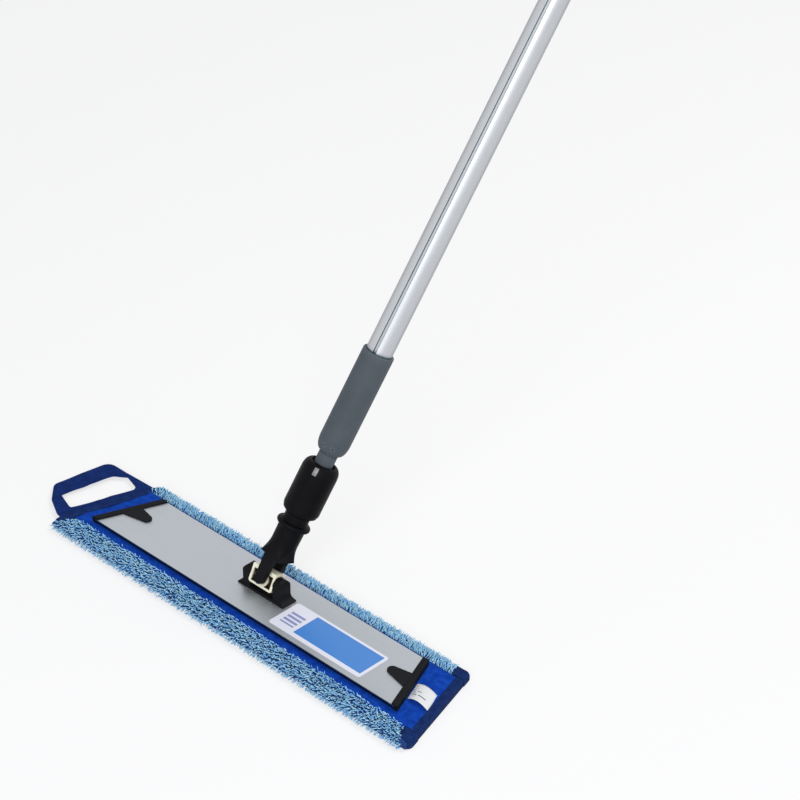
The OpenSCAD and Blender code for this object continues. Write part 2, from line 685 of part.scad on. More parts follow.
// ---- twist lock on top of the outer tube ----
module twist_ferrule() color([0.1, 0.1, 0.11]) at_pole() difference() {
    rotate_extrude() polygon([[0, s_ferrule], [ferrule_r - 1.2, s_ferrule], [ferrule_r, s_ferrule + 1.5],
        [ferrule_r, s_twist - 1.2], [ferrule_r - 0.4, s_twist - swing_gap], [ferrule_nose_r, s_twist - swing_gap],
        [ferrule_nose_r, s_tube_top - 1], [ferrule_nose_r - 0.8, s_tube_top], [0, s_tube_top]]);
    translate([0, 0, s_ferrule - 1]) cylinder(r = tube_r, h = ferrule_h + 2);
}
module twist_collar() color([0.36, 0.39, 0.42]) at_pole() difference() {
    rotate_extrude() polygon([[ferrule_nose_r + run_gap, s_twist], [twist_r - 0.8, s_twist], [twist_r, s_twist + 1.2],
        [twist_r, s_twist_top - 5], [twist_r - 2.4, s_twist_top], [tube_r - tube_wall + 0.3, s_twist_top],
        [tube_r - tube_wall + 0.3, s_tube_top + 1.5], [ferrule_nose_r + run_gap, s_tube_top + 0.5]]);
    for (i = [0 : twist_ribs - 1]) rotate(360 * i / twist_ribs) translate([twist_r + 0.8, 0, s_twist + 4])
        cylinder(r = 1.6, h = twist_h - 12, $fn = 16);
}

// ---- grip and hanging cap on the inner tube ----
grip_in = s_grip + grip_h;
module grip() color([0.12, 0.12, 0.13]) at_pole() difference() {
    rotate_extrude() polygon(concat([[0, s_grip], [grip_r - 1.6, s_grip], [grip_r - 0.4, s_grip + 0.8]],
        [for (i = [0 : 5 * grip_grooves]) let (u = i / (5 * grip_grooves))
            [grip_r - 0.35 + 0.35 * cos(360 * grip_grooves * u), s_grip + 3 + (grip_h - 6) * u]],
        [[grip_r - 0.6, grip_in], [0, grip_in]]));
    translate([0, 0, s_grip - 1]) rotate(tube_groove_turn) linear_extrude(height = grip_h + 2) inner_plan();
}
module hang_cap() color([0.36, 0.39, 0.42]) at_pole() difference() {
    union() {
        rotate_extrude() polygon(concat([[0, grip_in], [knob_r - 0.8, grip_in], [knob_r, grip_in + 1]],
            [for (i = [0 : 8]) [knob_r * cos(67.5 * i / 8), grip_in + 4 + 10 * sin(67.5 * i / 8)]],
            [[0, grip_in + 4 + 10 * sin(67.5)]]));
        along_y(-tab_t / 2, tab_t / 2) {
            translate([0, grip_in + eye_h]) circle(r = eye_r);
            translate([-eye_r, grip_in + 4]) square([2 * eye_r, eye_h - 4]);
        }
        translate([0, 0, grip_in - 16]) cylinder(r = inner_r - 2 * tube_wall - tube_groove_d, h = 18);
    }
    translate([0, 0, grip_in + eye_h]) rotate([90, 0, 0]) cylinder(r = hang_r, h = 3 * knob_r, center = true);
}

// ---- pad: pile, backing, loop face, fringes, bindings ----
field_w = pad_w - 2 * fringe_w;
module pad_plan(inset, out = 0) {
    x0 = pad_front / 2 - inset / cos(pad_turn) + out * pad_slant;
    x1 = pad_back / 2 - inset / cos(pad_turn) - out * pad_slant;
    y = pad_w / 2 + out;
    translate([pad_x, pad_y]) polygon(rounded([[-x0, -y, pad_front_r - inset], [x0, -y, pad_front_r - inset],
        [x1, y, pad_back_r - inset], [-x1, y, pad_back_r - inset]]));
}
module pad_strip(y0, y1, inset) intersection() {
    pad_plan(inset);
    translate([-big / 2, pad_y + y0]) square([big, y1 - y0]);
}
module layer(z, t, grow = 0) translate([0, 0, z]) linear_extrude(height = t)
    pad_strip(-field_w / 2 - grow, field_w / 2 + grow, binding_t);
module pad_pile() color([0.5, 0.68, 0.9]) layer(0, pile_h);
module pad_backing() color([0.1, 0.16, 0.5]) layer(z_backing, backing_t);
module pad_face() color([0.03, 0.16, 0.62]) layer(z_face, face_t);
// a fringe is a plump band of loops along a long side
module fringe_section() {
    r = fringe_h * 0.42;
    polygon(concat([[0, 0], [fringe_w - 2, 0]], arc(fringe_w - 2, 2, 2, -90, 0, 4),
        arc(fringe_w - r, fringe_h - r, r, 0, 90, 6), [[0, fringe_h]]));
}
module fringe_band(side, inset) intersection() {
    translate([0, pad_y + side * field_w / 2, 0]) along_x(big) mirror([side > 0 ? 0 : 1, 0]) fringe_section();
    linear_extrude(height = 2 * fringe_h) pad_plan(inset);
}
module fringe(side) color([0.5, 0.7, 0.93]) fringe_band(side, binding_t);
module pad_stack() {
    layer(0, z_pad_top, 0.05);
    for (s = [-1, 1]) fringe_band(s, binding_t);
}
// a binding folds round a slanted end and over the fringe ends, where its own ends are folded wider
module tape(side, width, top) intersection() {
    translate([pad_x + side * pad_mid, pad_y, 0]) rotate([0, 0, side * pad_turn])
        translate([side > 0 ? -width : 0, -pad_w, binding_lift]) cube([width, 2 * pad_w, top - binding_lift]);
    linear_extrude(height = big) pad_plan(0, binding_t);
}
module binding(side) color([0.05, 0.07, 0.2]) difference() {
    union() {
        tape(side, binding_w, fringe_h + binding_t);
        difference() {
            tape(side, fold_w, fringe_h + binding_t + fold_t);
            translate([-big / 2, pad_y - field_w / 2, -1]) cube([big, field_w, big]);
        }
    }
    pad_stack();
}

// ---- webbing hang loop at the left end: one flat ring of folded webbing ----
loop_back = pad_w / 2 - loop_back_in;
loop_fall = pad_w / 2 - loop_front_in - loop_front;
module loop_outline() {
    near = loop_back * pad_slant + loop_under;
    polygon(rounded([[-loop_reach, -loop_front, loop_r], [-loop_reach * 0.7, -loop_front - loop_fall * 19 / 34, loop_bend_r],
        [-loop_reach * 0.35, -loop_front - loop_fall * 31 / 34, loop_ease_r], [0, -loop_front - loop_fall, loop_root_r],
        [near, loop_back + loop_flare, loop_root_r], [loop_skew - loop_reach, loop_back, loop_r]]));
}
module loop_gap() {
    x0 = web_w - loop_reach;
    x1 = -web_root_w - loop_front * pad_slant;
    polygon(rounded([[x0, web_front_w - loop_front - loop_fall * 20 / 34, gap_r],
        [x1 - gap_lean, web_front_w - loop_front - loop_fall * 28 / 34, gap_front_r],
        [loop_back * 0.8 * pad_slant - web_root_w, loop_back * 0.8 - gap_root_in, gap_root_r],
        [x0 + gap_cut_l, loop_back - web_back_w, gap_r],
        [x0 + loop_skew + web_far_extra, loop_back - web_back_w - gap_cut_d, gap_far_r]]));
}
module hang_loop() color([0.06, 0.09, 0.25]) difference() {
    translate([pad_x - pad_mid, pad_y, web_z]) linear_extrude(height = web_th) difference() {
        loop_outline();
        loop_gap();
    }
    pad_stack();
    binding(-1);
}

// ---- care tag at the right binding, arching up and back to the cap ----
module care_tag() color([0.95, 0.95, 0.96]) difference() {
    rise = [for (i = [0 : 12]) [tag_l * i / 12, tag_rise * sin(180 * i / 12)]];
    intersection() {
        translate([end_mid, 0, z_pad_top]) rotate([0, 0, end_turn])
            translate([cap_out * cos(end_turn) + tag_gap, 0, 0]) along_y(-plate_w, plate_w)
            polygon(concat(rise, [for (i = [12 : -1 : 0]) rise[i] + [0, tag_t]]));
        translate([0, tag_y - tag_w / 2, 0]) cube([big, tag_w, big]);
    }
    tape(1, binding_w + tag_gap / 2, big);
}

frame_plate();
end_cap(-1);  // end_cap_left
end_cap(1);  // end_cap_right
cap_rivet(-1);  // cap_rivet_left
cap_rivet(1);  // cap_rivet_right
hook_strip(-1);  // hook_strip_front
hook_strip(1);  // hook_strip_back
info_label();
swivel_base();
base_rivet(-1);  // base_rivet_left
base_rivet(1);  // base_rivet_right
trunnion(-1);  // trunnion_left
trunnion(1);  // trunnion_right
gimbal_block();
fork_pin();
yoke();
lock_collar();
cone_adaptor();
outer_tube();
twist_ferrule();
twist_collar();
inner_tube();
guide_plug();
grip();
hang_cap();
pad_pile();
pad_backing();
pad_face();
fringe(-1);  // fringe_front
fringe(1);  // fringe_back
binding(-1);  // binding_left
binding(1);  // binding_right
hang_loop();
care_tag();
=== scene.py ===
import math

import bpy
import numpy as np
from mathutils import Matrix, Vector


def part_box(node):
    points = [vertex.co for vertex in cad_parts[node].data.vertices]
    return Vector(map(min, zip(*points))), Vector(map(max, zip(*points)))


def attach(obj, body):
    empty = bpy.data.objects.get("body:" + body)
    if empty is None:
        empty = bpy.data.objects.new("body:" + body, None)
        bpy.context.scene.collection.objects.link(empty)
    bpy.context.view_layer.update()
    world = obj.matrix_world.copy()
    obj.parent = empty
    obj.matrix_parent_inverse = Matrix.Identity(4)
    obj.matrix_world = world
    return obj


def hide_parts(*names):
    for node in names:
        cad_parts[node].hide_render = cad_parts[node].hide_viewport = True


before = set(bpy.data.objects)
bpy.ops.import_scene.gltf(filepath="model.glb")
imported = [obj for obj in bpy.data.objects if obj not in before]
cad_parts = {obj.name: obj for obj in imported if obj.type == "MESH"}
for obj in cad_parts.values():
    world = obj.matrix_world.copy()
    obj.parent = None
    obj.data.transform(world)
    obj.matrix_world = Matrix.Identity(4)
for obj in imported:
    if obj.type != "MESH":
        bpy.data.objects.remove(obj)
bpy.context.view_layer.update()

# ---------------------------------------------------------------------------------------------
# Studio: a white paper floor and soft light from above and behind, as in a catalogue picture.
# The camera stands where the photographer stood, three metres from the middle of the picture.
# ---------------------------------------------------------------------------------------------
picture_middle = Vector((-0.15474, 0.33284, 0.0))
camera_turn, camera_rise = math.radians(44.71), math.radians(32.91)
towards_camera = Vector((math.sin(camera_turn) * math.cos(camera_rise),
                         -math.cos(camera_turn) * math.cos(camera_rise),
                         math.sin(camera_rise)))
camera_data = bpy.data.cameras.new("picture_camera")
camera_data.sensor_width = 36
camera_data.lens = 132.66
camera_data.clip_start, camera_data.clip_end = 0.1, 60
camera = bpy.data.objects.new("picture_camera", camera_data)
camera.location = picture_middle + 3.0 * towards_camera
camera.rotation_mode = "QUATERNION"
camera.rotation_quaternion = (-towards_camera).to_track_quat("-Z", "Y")
bpy.context.scene.collection.objects.link(camera)
bpy.context.scene.camera = camera


def add(tree, kind, values=None, **settings):
    """A new node with its settings, and plain values on its inputs by name or number."""
    node = tree.nodes.new(kind)
    for name, value in settings.items():
        setattr(node, name, value)
    for name, value in (values or {}).items():
        node.inputs[name].default_value = value
    return node


def wire(tree, *pairs):
    """Links outputs to inputs: (from node, output, to node, input), by name or number."""
    for a, out, b, into in pairs:
        tree.links.new(a.outputs[out], b.inputs[into])


def seen_direct(tree):
    """1 where a camera, mirror or window ray looks, and 0 where the surface only lights others."""
    seen = add(tree, "ShaderNodeLightPath")
    glossy = add(tree, "ShaderNodeMath", operation="MAXIMUM")
    either = add(tree, "ShaderNodeMath", operation="MAXIMUM")
    wire(tree, (seen, "Is Glossy Ray", glossy, 0), (seen, "Is Transmission Ray", glossy, 1),
         (seen, "Is Camera Ray", either, 0), (glossy, 0, either, 1))
    return either


def new_object(name, points, faces, material=None, edges=()):
    """A mesh object at the origin, linked and painted."""
    mesh = bpy.data.meshes.new(name)
    mesh.from_pydata([tuple(p) for p in points], edges, faces)
    mesh.validate()
    if material:
        mesh.materials.append(material)
    made = bpy.data.objects.new(name, mesh)
    bpy.context.scene.collection.objects.link(made)
    return made


world = bpy.data.worlds.new("white_room")
world.use_nodes = True
room = world.node_tree
room.nodes.clear()
either = seen_direct(room)
white = add(room, "ShaderNodeBackground", {"Color": (1, 1, 1, 1), "Strength": 1.0})
fill = add(room, "ShaderNodeBackground", {"Color": (0.95, 0.97, 1.0, 1), "Strength": 0.45})
mixed = add(room, "ShaderNodeMixShader")
room_out = add(room, "ShaderNodeOutputWorld")
wire(room, (either, 0, mixed, 0), (fill, 0, mixed, 1), (white, 0, mixed, 2), (mixed, 0, room_out, 0))
bpy.context.scene.world = world
bpy.context.scene.view_settings.view_transform = "Standard"

for name, at, size, power, tint in (
        ("key_softbox", (0.9, 1.6, 2.6), 1.6, 36.0, (1.0, 0.985, 0.96)),
        ("front_softbox", (1.7, -2.3, 1.9), 2.2, 66.0, (0.97, 0.985, 1.0))):
    lamp = bpy.data.lights.new(name, "AREA")
    lamp.shape, lamp.size, lamp.energy, lamp.color = "DISK", size, power, tint
    box = bpy.data.objects.new(name, lamp)
    box.location = at
    box.rotation_mode = "QUATERNION"
    box.rotation_quaternion = (Vector((-0.05, 0.1, 0.1)) - Vector(at)).to_track_quat("-Z", "Y")
    bpy.context.scene.collection.objects.link(box)

paper = bpy.data.materials.new("white_paper")
paper.use_nodes = True
sheet_tree = paper.node_tree
sheet_tree.nodes.clear()
either = seen_direct(sheet_tree)
share = add(sheet_tree, "ShaderNodeMath", {1: 0.66}, operation="MULTIPLY")
matt = add(sheet_tree, "ShaderNodeBsdfDiffuse", {"Color": (0.9, 0.9, 0.915, 1)})
glow = add(sheet_tree, "ShaderNodeEmission", {"Color": (1, 1, 1, 1), "Strength": 1.0})
paper_mix = add(sheet_tree, "ShaderNodeMixShader")
paper_out = add(sheet_tree, "ShaderNodeOutputMaterial")
wire(sheet_tree, (either, 0, share, 0), (share, 0, paper_mix, 0), (matt, 0, paper_mix, 1),
     (glow, 0, paper_mix, 2), (paper_mix, 0, paper_out, 0))
floor_half, floor_z = 9, -0.0004
paper_floor = new_object("paper_floor", [(x * floor_half, y * floor_half, floor_z) for x, y in
                                         ((-1, -1), (1, -1), (1, 1), (-1, 1))], [(0, 1, 2, 3)], paper)

# ---------------------------------------------------------------------------------------------
# Frame plate: a 40 cm trapezoid cut from extruded aluminium, satin anodised, with the fine
# lines of the die running along it. Its long sides carry painted shade and one painted highlight line.
# ---------------------------------------------------------------------------------------------


def finish(name, **values):
    """A material with one shader, and the plain values on that shader's own sockets."""
    material = bpy.data.materials.new(name)
    material.use_nodes = True
    shader = material.node_tree.nodes["Principled BSDF"]
    for socket, value in values.items():
        shader.inputs[socket.replace("_", " ")].default_value = value
    return material, material.node_tree, shader


def dress(material, *nodes):
    """These CAD nodes take this material in every slot."""
    for node in nodes:
        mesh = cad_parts[node].data
        if not mesh.materials:
            mesh.materials.append(material)
        for i in range(len(mesh.materials)):
            mesh.materials[i] = material


def two_tone(tree, factor, out, dark, light, low=0.0, high=1.0):
    """A colour between dark and light as a node's output goes from low to high."""
    ramp = add(tree, "ShaderNodeMapRange", {"From Min": low, "From Max": high})
    mix = add(tree, "ShaderNodeMix", data_type="RGBA")
    mix.inputs[6].default_value = (*dark, 1)
    mix.inputs[7].default_value = (*light, 1)
    wire(tree, (factor, out, ramp, "Value"), (ramp, "Result", mix, 0))
    return mix


def noise(tree, place, scale, detail, rough=0.5):
    """A noise read in the piece's own frame."""
    made = add(tree, "ShaderNodeTexNoise", {"Scale": scale, "Detail": detail, "Roughness": rough})
    wire(tree, (place, "Object", made, 0))
    return made


def relief(tree, target, source, out, strength, depth, **settings):
    """A bump that reads a node's output and tilts the target's normal."""
    made = add(tree, "ShaderNodeBump", {"Strength": strength, "Distance": depth}, **settings)
    wire(tree, (source, out, made, "Height"), (made, 0, target, "Normal"))
    return made


def uneven_gloss(tree, shader, source, low, high):
    """The shader's roughness wanders from low to high with a noise."""
    made = add(tree, "ShaderNodeMapRange", {"From Min": 0.3, "From Max": 0.7, "To Min": low, "To Max": high})
    wire(tree, (source, "Fac", made, "Value"), (made, 0, shader, "Roughness"))


def opened(material):
    """A finished material's tree, its shader and the node that colours it."""
    shader = material.node_tree.nodes["Principled BSDF"]
    return material.node_tree, shader, shader.inputs["Base Color"].links[0].from_node


def satin_metal(name, turn, along, tone, rough):
    """Drawn aluminium: fine lines along the axis `along` of the piece's own frame."""
    material, tree, shader = finish(name, Metallic=0.85, Roughness=rough)
    place = add(tree, "ShaderNodeTexCoord")
    stretch = add(tree, "ShaderNodeMapping", {"Rotation": turn, "Scale": along}, vector_type="TEXTURE")
    lines = add(tree, "ShaderNodeTexNoise", {"Scale": 1.0, "Detail": 3.0, "Roughness": 0.6})
    colour = two_tone(tree, lines, "Fac", tuple(0.94 * c for c in tone), tone, 0.3, 0.7)
    uneven_gloss(tree, shader, noise(tree, place, 22.0, 2.0), rough - 0.04, rough + 0.05)
    relief(tree, shader, lines, "Fac", 0.12, 0.0001)
    wire(tree, (place, "Object", stretch, 0), (stretch, 0, lines, 0), (colour, 2, shader, "Base Color"))
    return material


plate_metal = satin_metal("satin_plate", (0, 0, 0), (0.05, 0.0004, 0.0004), (0.475, 0.505, 0.54), 0.42)
tree, shader, drawn = opened(plate_metal)
place = add(tree, "ShaderNodeTexCoord")
# Painted shade: faces turned sideways, the long sides, are coloured dark, with one painted highlight line 12.5 mm
# up.
facing = add(tree, "ShaderNodeSeparateXYZ")
height = add(tree, "ShaderNodeSeparateXYZ")
sideways = add(tree, "ShaderNodeMath", operation="ABSOLUTE")
rolled = add(tree, "ShaderNodeMath", {1: 0.7}, operation="GREATER_THAN")
middle = add(tree, "ShaderNodeMath", {1: 0.0125, 2: 0.0007}, operation="COMPARE")
lip_shade_and_highlight = two_tone(tree, middle, 0, (0.012, 0.022, 0.05), (0.10, 0.17, 0.22))
painted = add(tree, "ShaderNodeMix", data_type="RGBA")
wire(tree, (place, "Normal", facing, 0), (place, "Object", height, 0), (facing, "Y", sideways, 0),
     (sideways, 0, rolled, 0), (height, "Z", middle, 0), (rolled, 0, painted, 0), (drawn, 2, painted, 6),
     (lip_shade_and_highlight, 2, painted, 7), (painted, 2, shader, "Base Color"))
dress(plate_metal, "frame_plate")

# ---------------------------------------------------------------------------------------------
# End caps, swivel base, yoke and lock collar: black nylon from spark-eroded moulds, almost
# matt, with a painted highlight along their sharp edges.
# ---------------------------------------------------------------------------------------------


def blended(tree, a, b, how="MULTIPLY"):
    """Two colours multiplied, or added, in full."""
    made = add(tree, "ShaderNodeMix", {0: 1.0}, data_type="RGBA", blend_type=how)
    wire(tree, (a, 2, made, 6), (b, 2, made, 7))
    return made


def moulded(name, dark, light, rough, grain, depth, shine=0.05):
    """Moulded plastic with a fine mould grain, faint cloudy flow marks and a painted highlight on sharp edges."""
    material, tree, shader = finish(name, Roughness=rough, Specular_IOR_Level=shine)
    place = add(tree, "ShaderNodeTexCoord")
    flow = noise(tree, place, 45.0, 3.0)
    edge = add(tree, "ShaderNodeNewGeometry")
    colour = two_tone(tree, flow, "Fac", dark, light, 0.25, 0.75)
    uneven_gloss(tree, shader, flow, rough - 0.06, rough + 0.06)
    relief(tree, shader, noise(tree, place, grain, 2.0, 0.7), "Fac", depth, 0.0002)
    # Painted highlight: convex edges, found by pointiness, are made lighter.
    wear_and_edge_highlight = two_tone(tree, edge, "Pointiness", (0, 0, 0), tuple(0.6 * c for c in light), 0.53, 0.64)
    total = blended(tree, colour, wear_and_edge_highlight, "ADD")
    wire(tree, (total, 2, shader, "Base Color"))
    return material


black_nylon = moulded("black_nylon", (0.0032, 0.0032, 0.0042), (0.0062, 0.0062, 0.0075), 0.42, 2600, 0.35)
cap_rubber = moulded("cap_rubber", (0.0042, 0.0048, 0.0060), (0.0072, 0.0078, 0.0090), 0.55, 1800, 0.5)
dress(cap_rubber, "end_cap_left", "end_cap_right")
dress(black_nylon, "swivel_base", "yoke", "lock_collar")

# ---------------------------------------------------------------------------------------------
# Gimbal block: a cream acetal casting with a pin seat and deep pockets, the cross of the
# two-way swivel, with painted shade in its pockets. Pins and rivets are plain zinc-plated steel.
# ---------------------------------------------------------------------------------------------
cream_acetal = moulded("cream_acetal", (0.60, 0.565, 0.43), (0.72, 0.69, 0.56), 0.36, 1500, 0.12, 0.4)
tree, shader, unshaded = opened(cream_acetal)
# Painted shade: pockets and corners, found by ambient occlusion, are darkened to a deep brown.
hollow = add(tree, "ShaderNodeAmbientOcclusion", {"Distance": 0.006})
pocket_shade = two_tone(tree, hollow, "AO", (0.045, 0.026, 0.012), (1.0, 1.0, 1.0), 0.42, 0.78)
wire(tree, (blended(tree, unshaded, pocket_shade), 2, shader, "Base Color"))
dress(cream_acetal, "gimbal_block")

zinc, tree, shader = finish("zinc_steel", Metallic=1.0, Roughness=0.33)
place = add(tree, "ShaderNodeTexCoord")
turned = noise(tree, place, 700.0, 3.0)
colour = two_tone(tree, turned, "Fac", (0.48, 0.49, 0.5), (0.66, 0.66, 0.66), 0.3, 0.7)
wire(tree, (colour, 2, shader, "Base Color"))
dress(zinc, "fork_pin", "trunnion_left", "trunnion_right", "base_rivet_left", "base_rivet_right",
      "cap_rivet_left", "cap_rivet_right")

# ---------------------------------------------------------------------------------------------
# Hook strips: two lengths of black hook tape glued in the channels under the plate.
# ---------------------------------------------------------------------------------------------
hook_tape, tree, shader = finish("hook_tape", Roughness=0.7)
place = add(tree, "ShaderNodeTexCoord")
hooks = add(tree, "ShaderNodeTexVoronoi", {"Scale": 900.0, "Randomness": 0.35})
colour = two_tone(tree, hooks, "Distance", (0.05, 0.05, 0.055), (0.008, 0.008, 0.01), 0.0, 0.7)
relief(tree, shader, hooks, "Distance", 0.9, 0.0006, invert=True)
wire(tree, (place, "Object", hooks, 0), (colour, 2, shader, "Base Color"))
dress(hook_tape, "hook_strip_front", "hook_strip_back")

# ---------------------------------------------------------------------------------------------
# Pole: cone adaptor in grey glass-filled nylon, and anodised aluminium tubes with one rolled
# groove along them, with painted shade in the groove and towards their outlines. Higher up
# come the twist lock, a ribbed rubber grip and a hanging cap.
# ---------------------------------------------------------------------------------------------
pole_turn = (Matrix.Rotation(math.radians(-27.2), 3, "X") @ Matrix.Rotation(math.radians(9), 3, "Y"))
pole_euler = tuple(pole_turn.to_euler("XYZ"))
pole_axis = pole_turn @ Vector((0, 0, 1))

grey_nylon = moulded("grey_nylon", (0.066, 0.080, 0.095), (0.087, 0.102, 0.119), 0.52, 1900, 0.55, 0.12)
dress(grey_nylon, "cone_adaptor", "twist_collar", "hang_cap")
tube_metal = satin_metal("anodised_tube", pole_euler, (0.0005, 0.0005, 0.09), (0.56, 0.575, 0.60), 0.44)
tree, shader, drawn = opened(tube_metal)
# Painted shade: the groove, found by ambient occlusion, is darkened blue-grey, and the tube darkens towards its
# outlines as it turns away from the camera.
hollow = add(tree, "ShaderNodeAmbientOcclusion", {"Distance": 0.005})
groove_shade = two_tone(tree, hollow, "AO", (0.10, 0.17, 0.22), (1.0, 1.0, 1.0), 0.62, 0.96)
glance = add(tree, "ShaderNodeLayerWeight", {"Blend": 0.5})
rim = two_tone(tree, glance, "Facing", (1.0, 1.0, 1.0), (0.58, 0.58, 0.60), 0.35, 0.95)
wire(tree, (blended(tree, blended(tree, drawn, groove_shade), rim), 2, shader, "Base Color"))
dress(tube_metal, "outer_tube", "inner_tube")
dress(black_nylon, "twist_ferrule", "guide_plug")
grip_rubber = moulded("grip_rubber", (0.012, 0.012, 0.013), (0.022, 0.022, 0.023), 0.7, 900, 0.8)
dress(grip_rubber, "grip")


def tube_faces(rings, around, flip=False):
    """Faces of a closed sweep: `rings` sections of `around` points and a cap at each end."""
    faces = []
    for i in range(rings - 1):
        for k in range(around):
            a, b = i * around + k, i * around + (k + 1) % around
            faces.append((a, b, b + around, a + around))
    faces += [tuple(range(around - 1, -1, -1)), tuple(range((rings - 1) * around, rings * around))]
    return [f[::-1] for f in faces] if flip else faces


# a pale grey strip in the notch of the collar's top: a painted highlight where the notch catches the light
key_nylon = moulded("key_nylon", (0.16, 0.165, 0.175), (0.22, 0.225, 0.235), 0.25, 1500, 0.1, 0.5)
pivot, streak_turn, streak_half, streak_foot = Vector((0, 0.003, 0.028)), math.radians(-65), 2.05, 14.75
points = []
for s_mm in (115.3, 117.0, 118.5, 120.0, 121.5, 122.6):
    shoulder = 12.4 + 5.3 * math.sqrt(1 - min(1.0, (s_mm - 115.0) / 9.6) ** 2) - 0.35
    streak_side = max(14.85, shoulder - 0.12)
    for across, r in ((-streak_half, streak_foot), (streak_half, streak_foot), (streak_half, streak_side),
                      (0.0, max(14.87, shoulder)), (-streak_half, streak_side)):
        local = Vector((r * math.cos(streak_turn) - across * math.sin(streak_turn),
                        r * math.sin(streak_turn) + across * math.cos(streak_turn), s_mm))
        points.append(pivot + pole_turn @ local / 1000)
key_strip = new_object("key_strip", points, tube_faces(6, 5), key_nylon)
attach(key_strip, "collar")

# ---------------------------------------------------------------------------------------------
# Sticker on the plate: white coated paper with rounded corners. Its printed side is left
# generic: one blue panel and one pale ruled panel, with no words.
# ---------------------------------------------------------------------------------------------
low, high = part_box("info_label")


def rounded_sheet(name, x0, y0, x1, y1, z, thick, radius):
    """A thin flat sheet with rounded corners, closed on all sides."""
    ring = []
    for cx, cy, start in ((x1 - radius, y1 - radius, 0), (x0 + radius, y1 - radius, 90),
                          (x0 + radius, y0 + radius, 180), (x1 - radius, y0 + radius, 270)):
        for i in range(7):
            a = math.radians(start + 15 * i)
            ring.append((cx + radius * math.cos(a), cy + radius * math.sin(a)))
    n = len(ring)
    points = [(x, y, z) for x, y in ring] + [(x, y, z + thick) for x, y in ring]
    faces = [tuple(range(n - 1, -1, -1)), tuple(range(n, 2 * n))]
    faces += [(i, (i + 1) % n, n + (i + 1) % n, n + i) for i in range(n)]
    return new_object(name, points, faces)


sticker = rounded_sheet("plate_sticker", low.x, low.y, high.x, high.y, low.z, high.z - low.z, 0.0028)
coated_paper, tree, shader = finish("coated_paper", Roughness=0.38, Coat_Weight=0.25, Coat_Roughness=0.2)
place = add(tree, "ShaderNodeTexCoord")
split = add(tree, "ShaderNodeSeparateXYZ")
wire(tree, (place, "Object", split, 0))


def between(tree, source, out, a, b):
    """1 where the value lies between a and b, else 0."""
    middle = add(tree, "ShaderNodeMath", {1: (a + b) / 2}, operation="SUBTRACT")
    away = add(tree, "ShaderNodeMath", operation="ABSOLUTE")
    inside = add(tree, "ShaderNodeMath", {1: (b - a) / 2}, operation="LESS_THAN")
    wire(tree, (source, out, middle, 0), (middle, 0, away, 0), (away, 0, inside, 0))
    return inside


def both(tree, a, b):
    """The product of two masks."""
    made = add(tree, "ShaderNodeMath", operation="MULTIPLY")
    wire(tree, (a, 0, made, 0), (b, 0, made, 1))
    return made


def printed(tree, under, mask, colour):
    """A colour laid over another where the mask is 1."""
    mix = add(tree, "ShaderNodeMix", data_type="RGBA")
    mix.inputs[7].default_value = (*colour, 1)
    wire(tree, (mask, 0, mix, 0), (under, 2 if under.bl_idname == "ShaderNodeMix" else 0, mix, 6))
    return mix


wide, deep = high.x - low.x, high.y - low.y
fibre = noise(tree, place, 1500.0, 2.0)
ground = two_tone(tree, fibre, "Fac", (0.72, 0.73, 0.84), (0.80, 0.81, 0.90), 0.3, 0.7)
panel = both(tree, between(tree, split, "X", low.x + 0.24 * wide, low.x + 0.972 * wide),
             between(tree, split, "Y", low.y + 0.12 * deep, low.y + 0.93 * deep))
blue = printed(tree, ground, panel, (0.045, 0.22, 0.62))
rows = add(tree, "ShaderNodeMath", {1: 0.0052}, operation="MODULO")
wire(tree, (split, "Y", rows, 0))
row_mask = between(tree, rows, 0, -0.0042, -0.0012)
ruled = both(tree, both(tree, between(tree, split, "X", low.x + 0.052 * wide, low.x + 0.20 * wide),
                        between(tree, split, "Y", low.y + 0.22 * deep, low.y + 0.80 * deep)), row_mask)
print_all = printed(tree, blue, ruled, (0.26, 0.30, 0.55))
wire(tree, (print_all, 2, shader, "Base Color"))
sticker.data.materials.append(coated_paper)
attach(sticker, "head")
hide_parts("info_label")

# ---------------------------------------------------------------------------------------------
# Pad ground: royal blue brushed loop cloth that the hooks hold on to, over a navy backing.
# It is cut to the same trapezoid as the pad, and it puckers a little near the sewn ends.
# ---------------------------------------------------------------------------------------------
pad_x, pad_y, pad_w, field_half = 0.003, -0.002, 0.111, 0.0395
pad_mid, pad_slant = 0.2225, 0.2883
plate_half, plate_slant = 0.187, 0.026 / 0.066


def smooth(obj):
    """Shades every face of a piece smooth."""
    obj.data.polygons.foreach_set("use_smooth", [True] * len(obj.data.polygons))
    obj.data.update()


def pad_end(side, y):
    """Where the pad's slanted end lies at a distance y across it."""
    return pad_x + side * (pad_mid - pad_slant * (y - pad_y))


def front_skew(x):
    """The front fringe is not sewn quite parallel: it wanders outwards to the right."""
    return -0.0012 - 0.0009 * (x + 0.22) / 0.445


def plate_over(x, y):
    """1 under the plate, falling to 0 a few millimetres outside it."""
    out = max(abs(y) - 0.033, abs(x) - (plate_half - plate_slant * y), 0.0)
    return max(0.0, 1.0 - out / 0.006)


def slab_faces(columns, lines):
    """Faces of a closed slab: an upper grid of points, a lower one, and the rim between them."""
    w, n = columns + 1, (columns + 1) * (lines + 1)
    faces = []
    for j in range(lines):
        for i in range(columns):
            k = j * w + i
            faces += [(k, k + 1, k + w + 1, k + w), (n + k, n + k + w, n + k + w + 1, n + k + 1)]
    rim = ([i for i in range(columns)] + [j * w + columns for j in range(lines)]
           + [lines * w + i for i in range(columns, 0, -1)] + [j * w for j in range(lines, 0, -1)])
    return faces + [(q, p, n + p, n + q) for p, q in zip(rim, rim[1:] + rim[:1])]


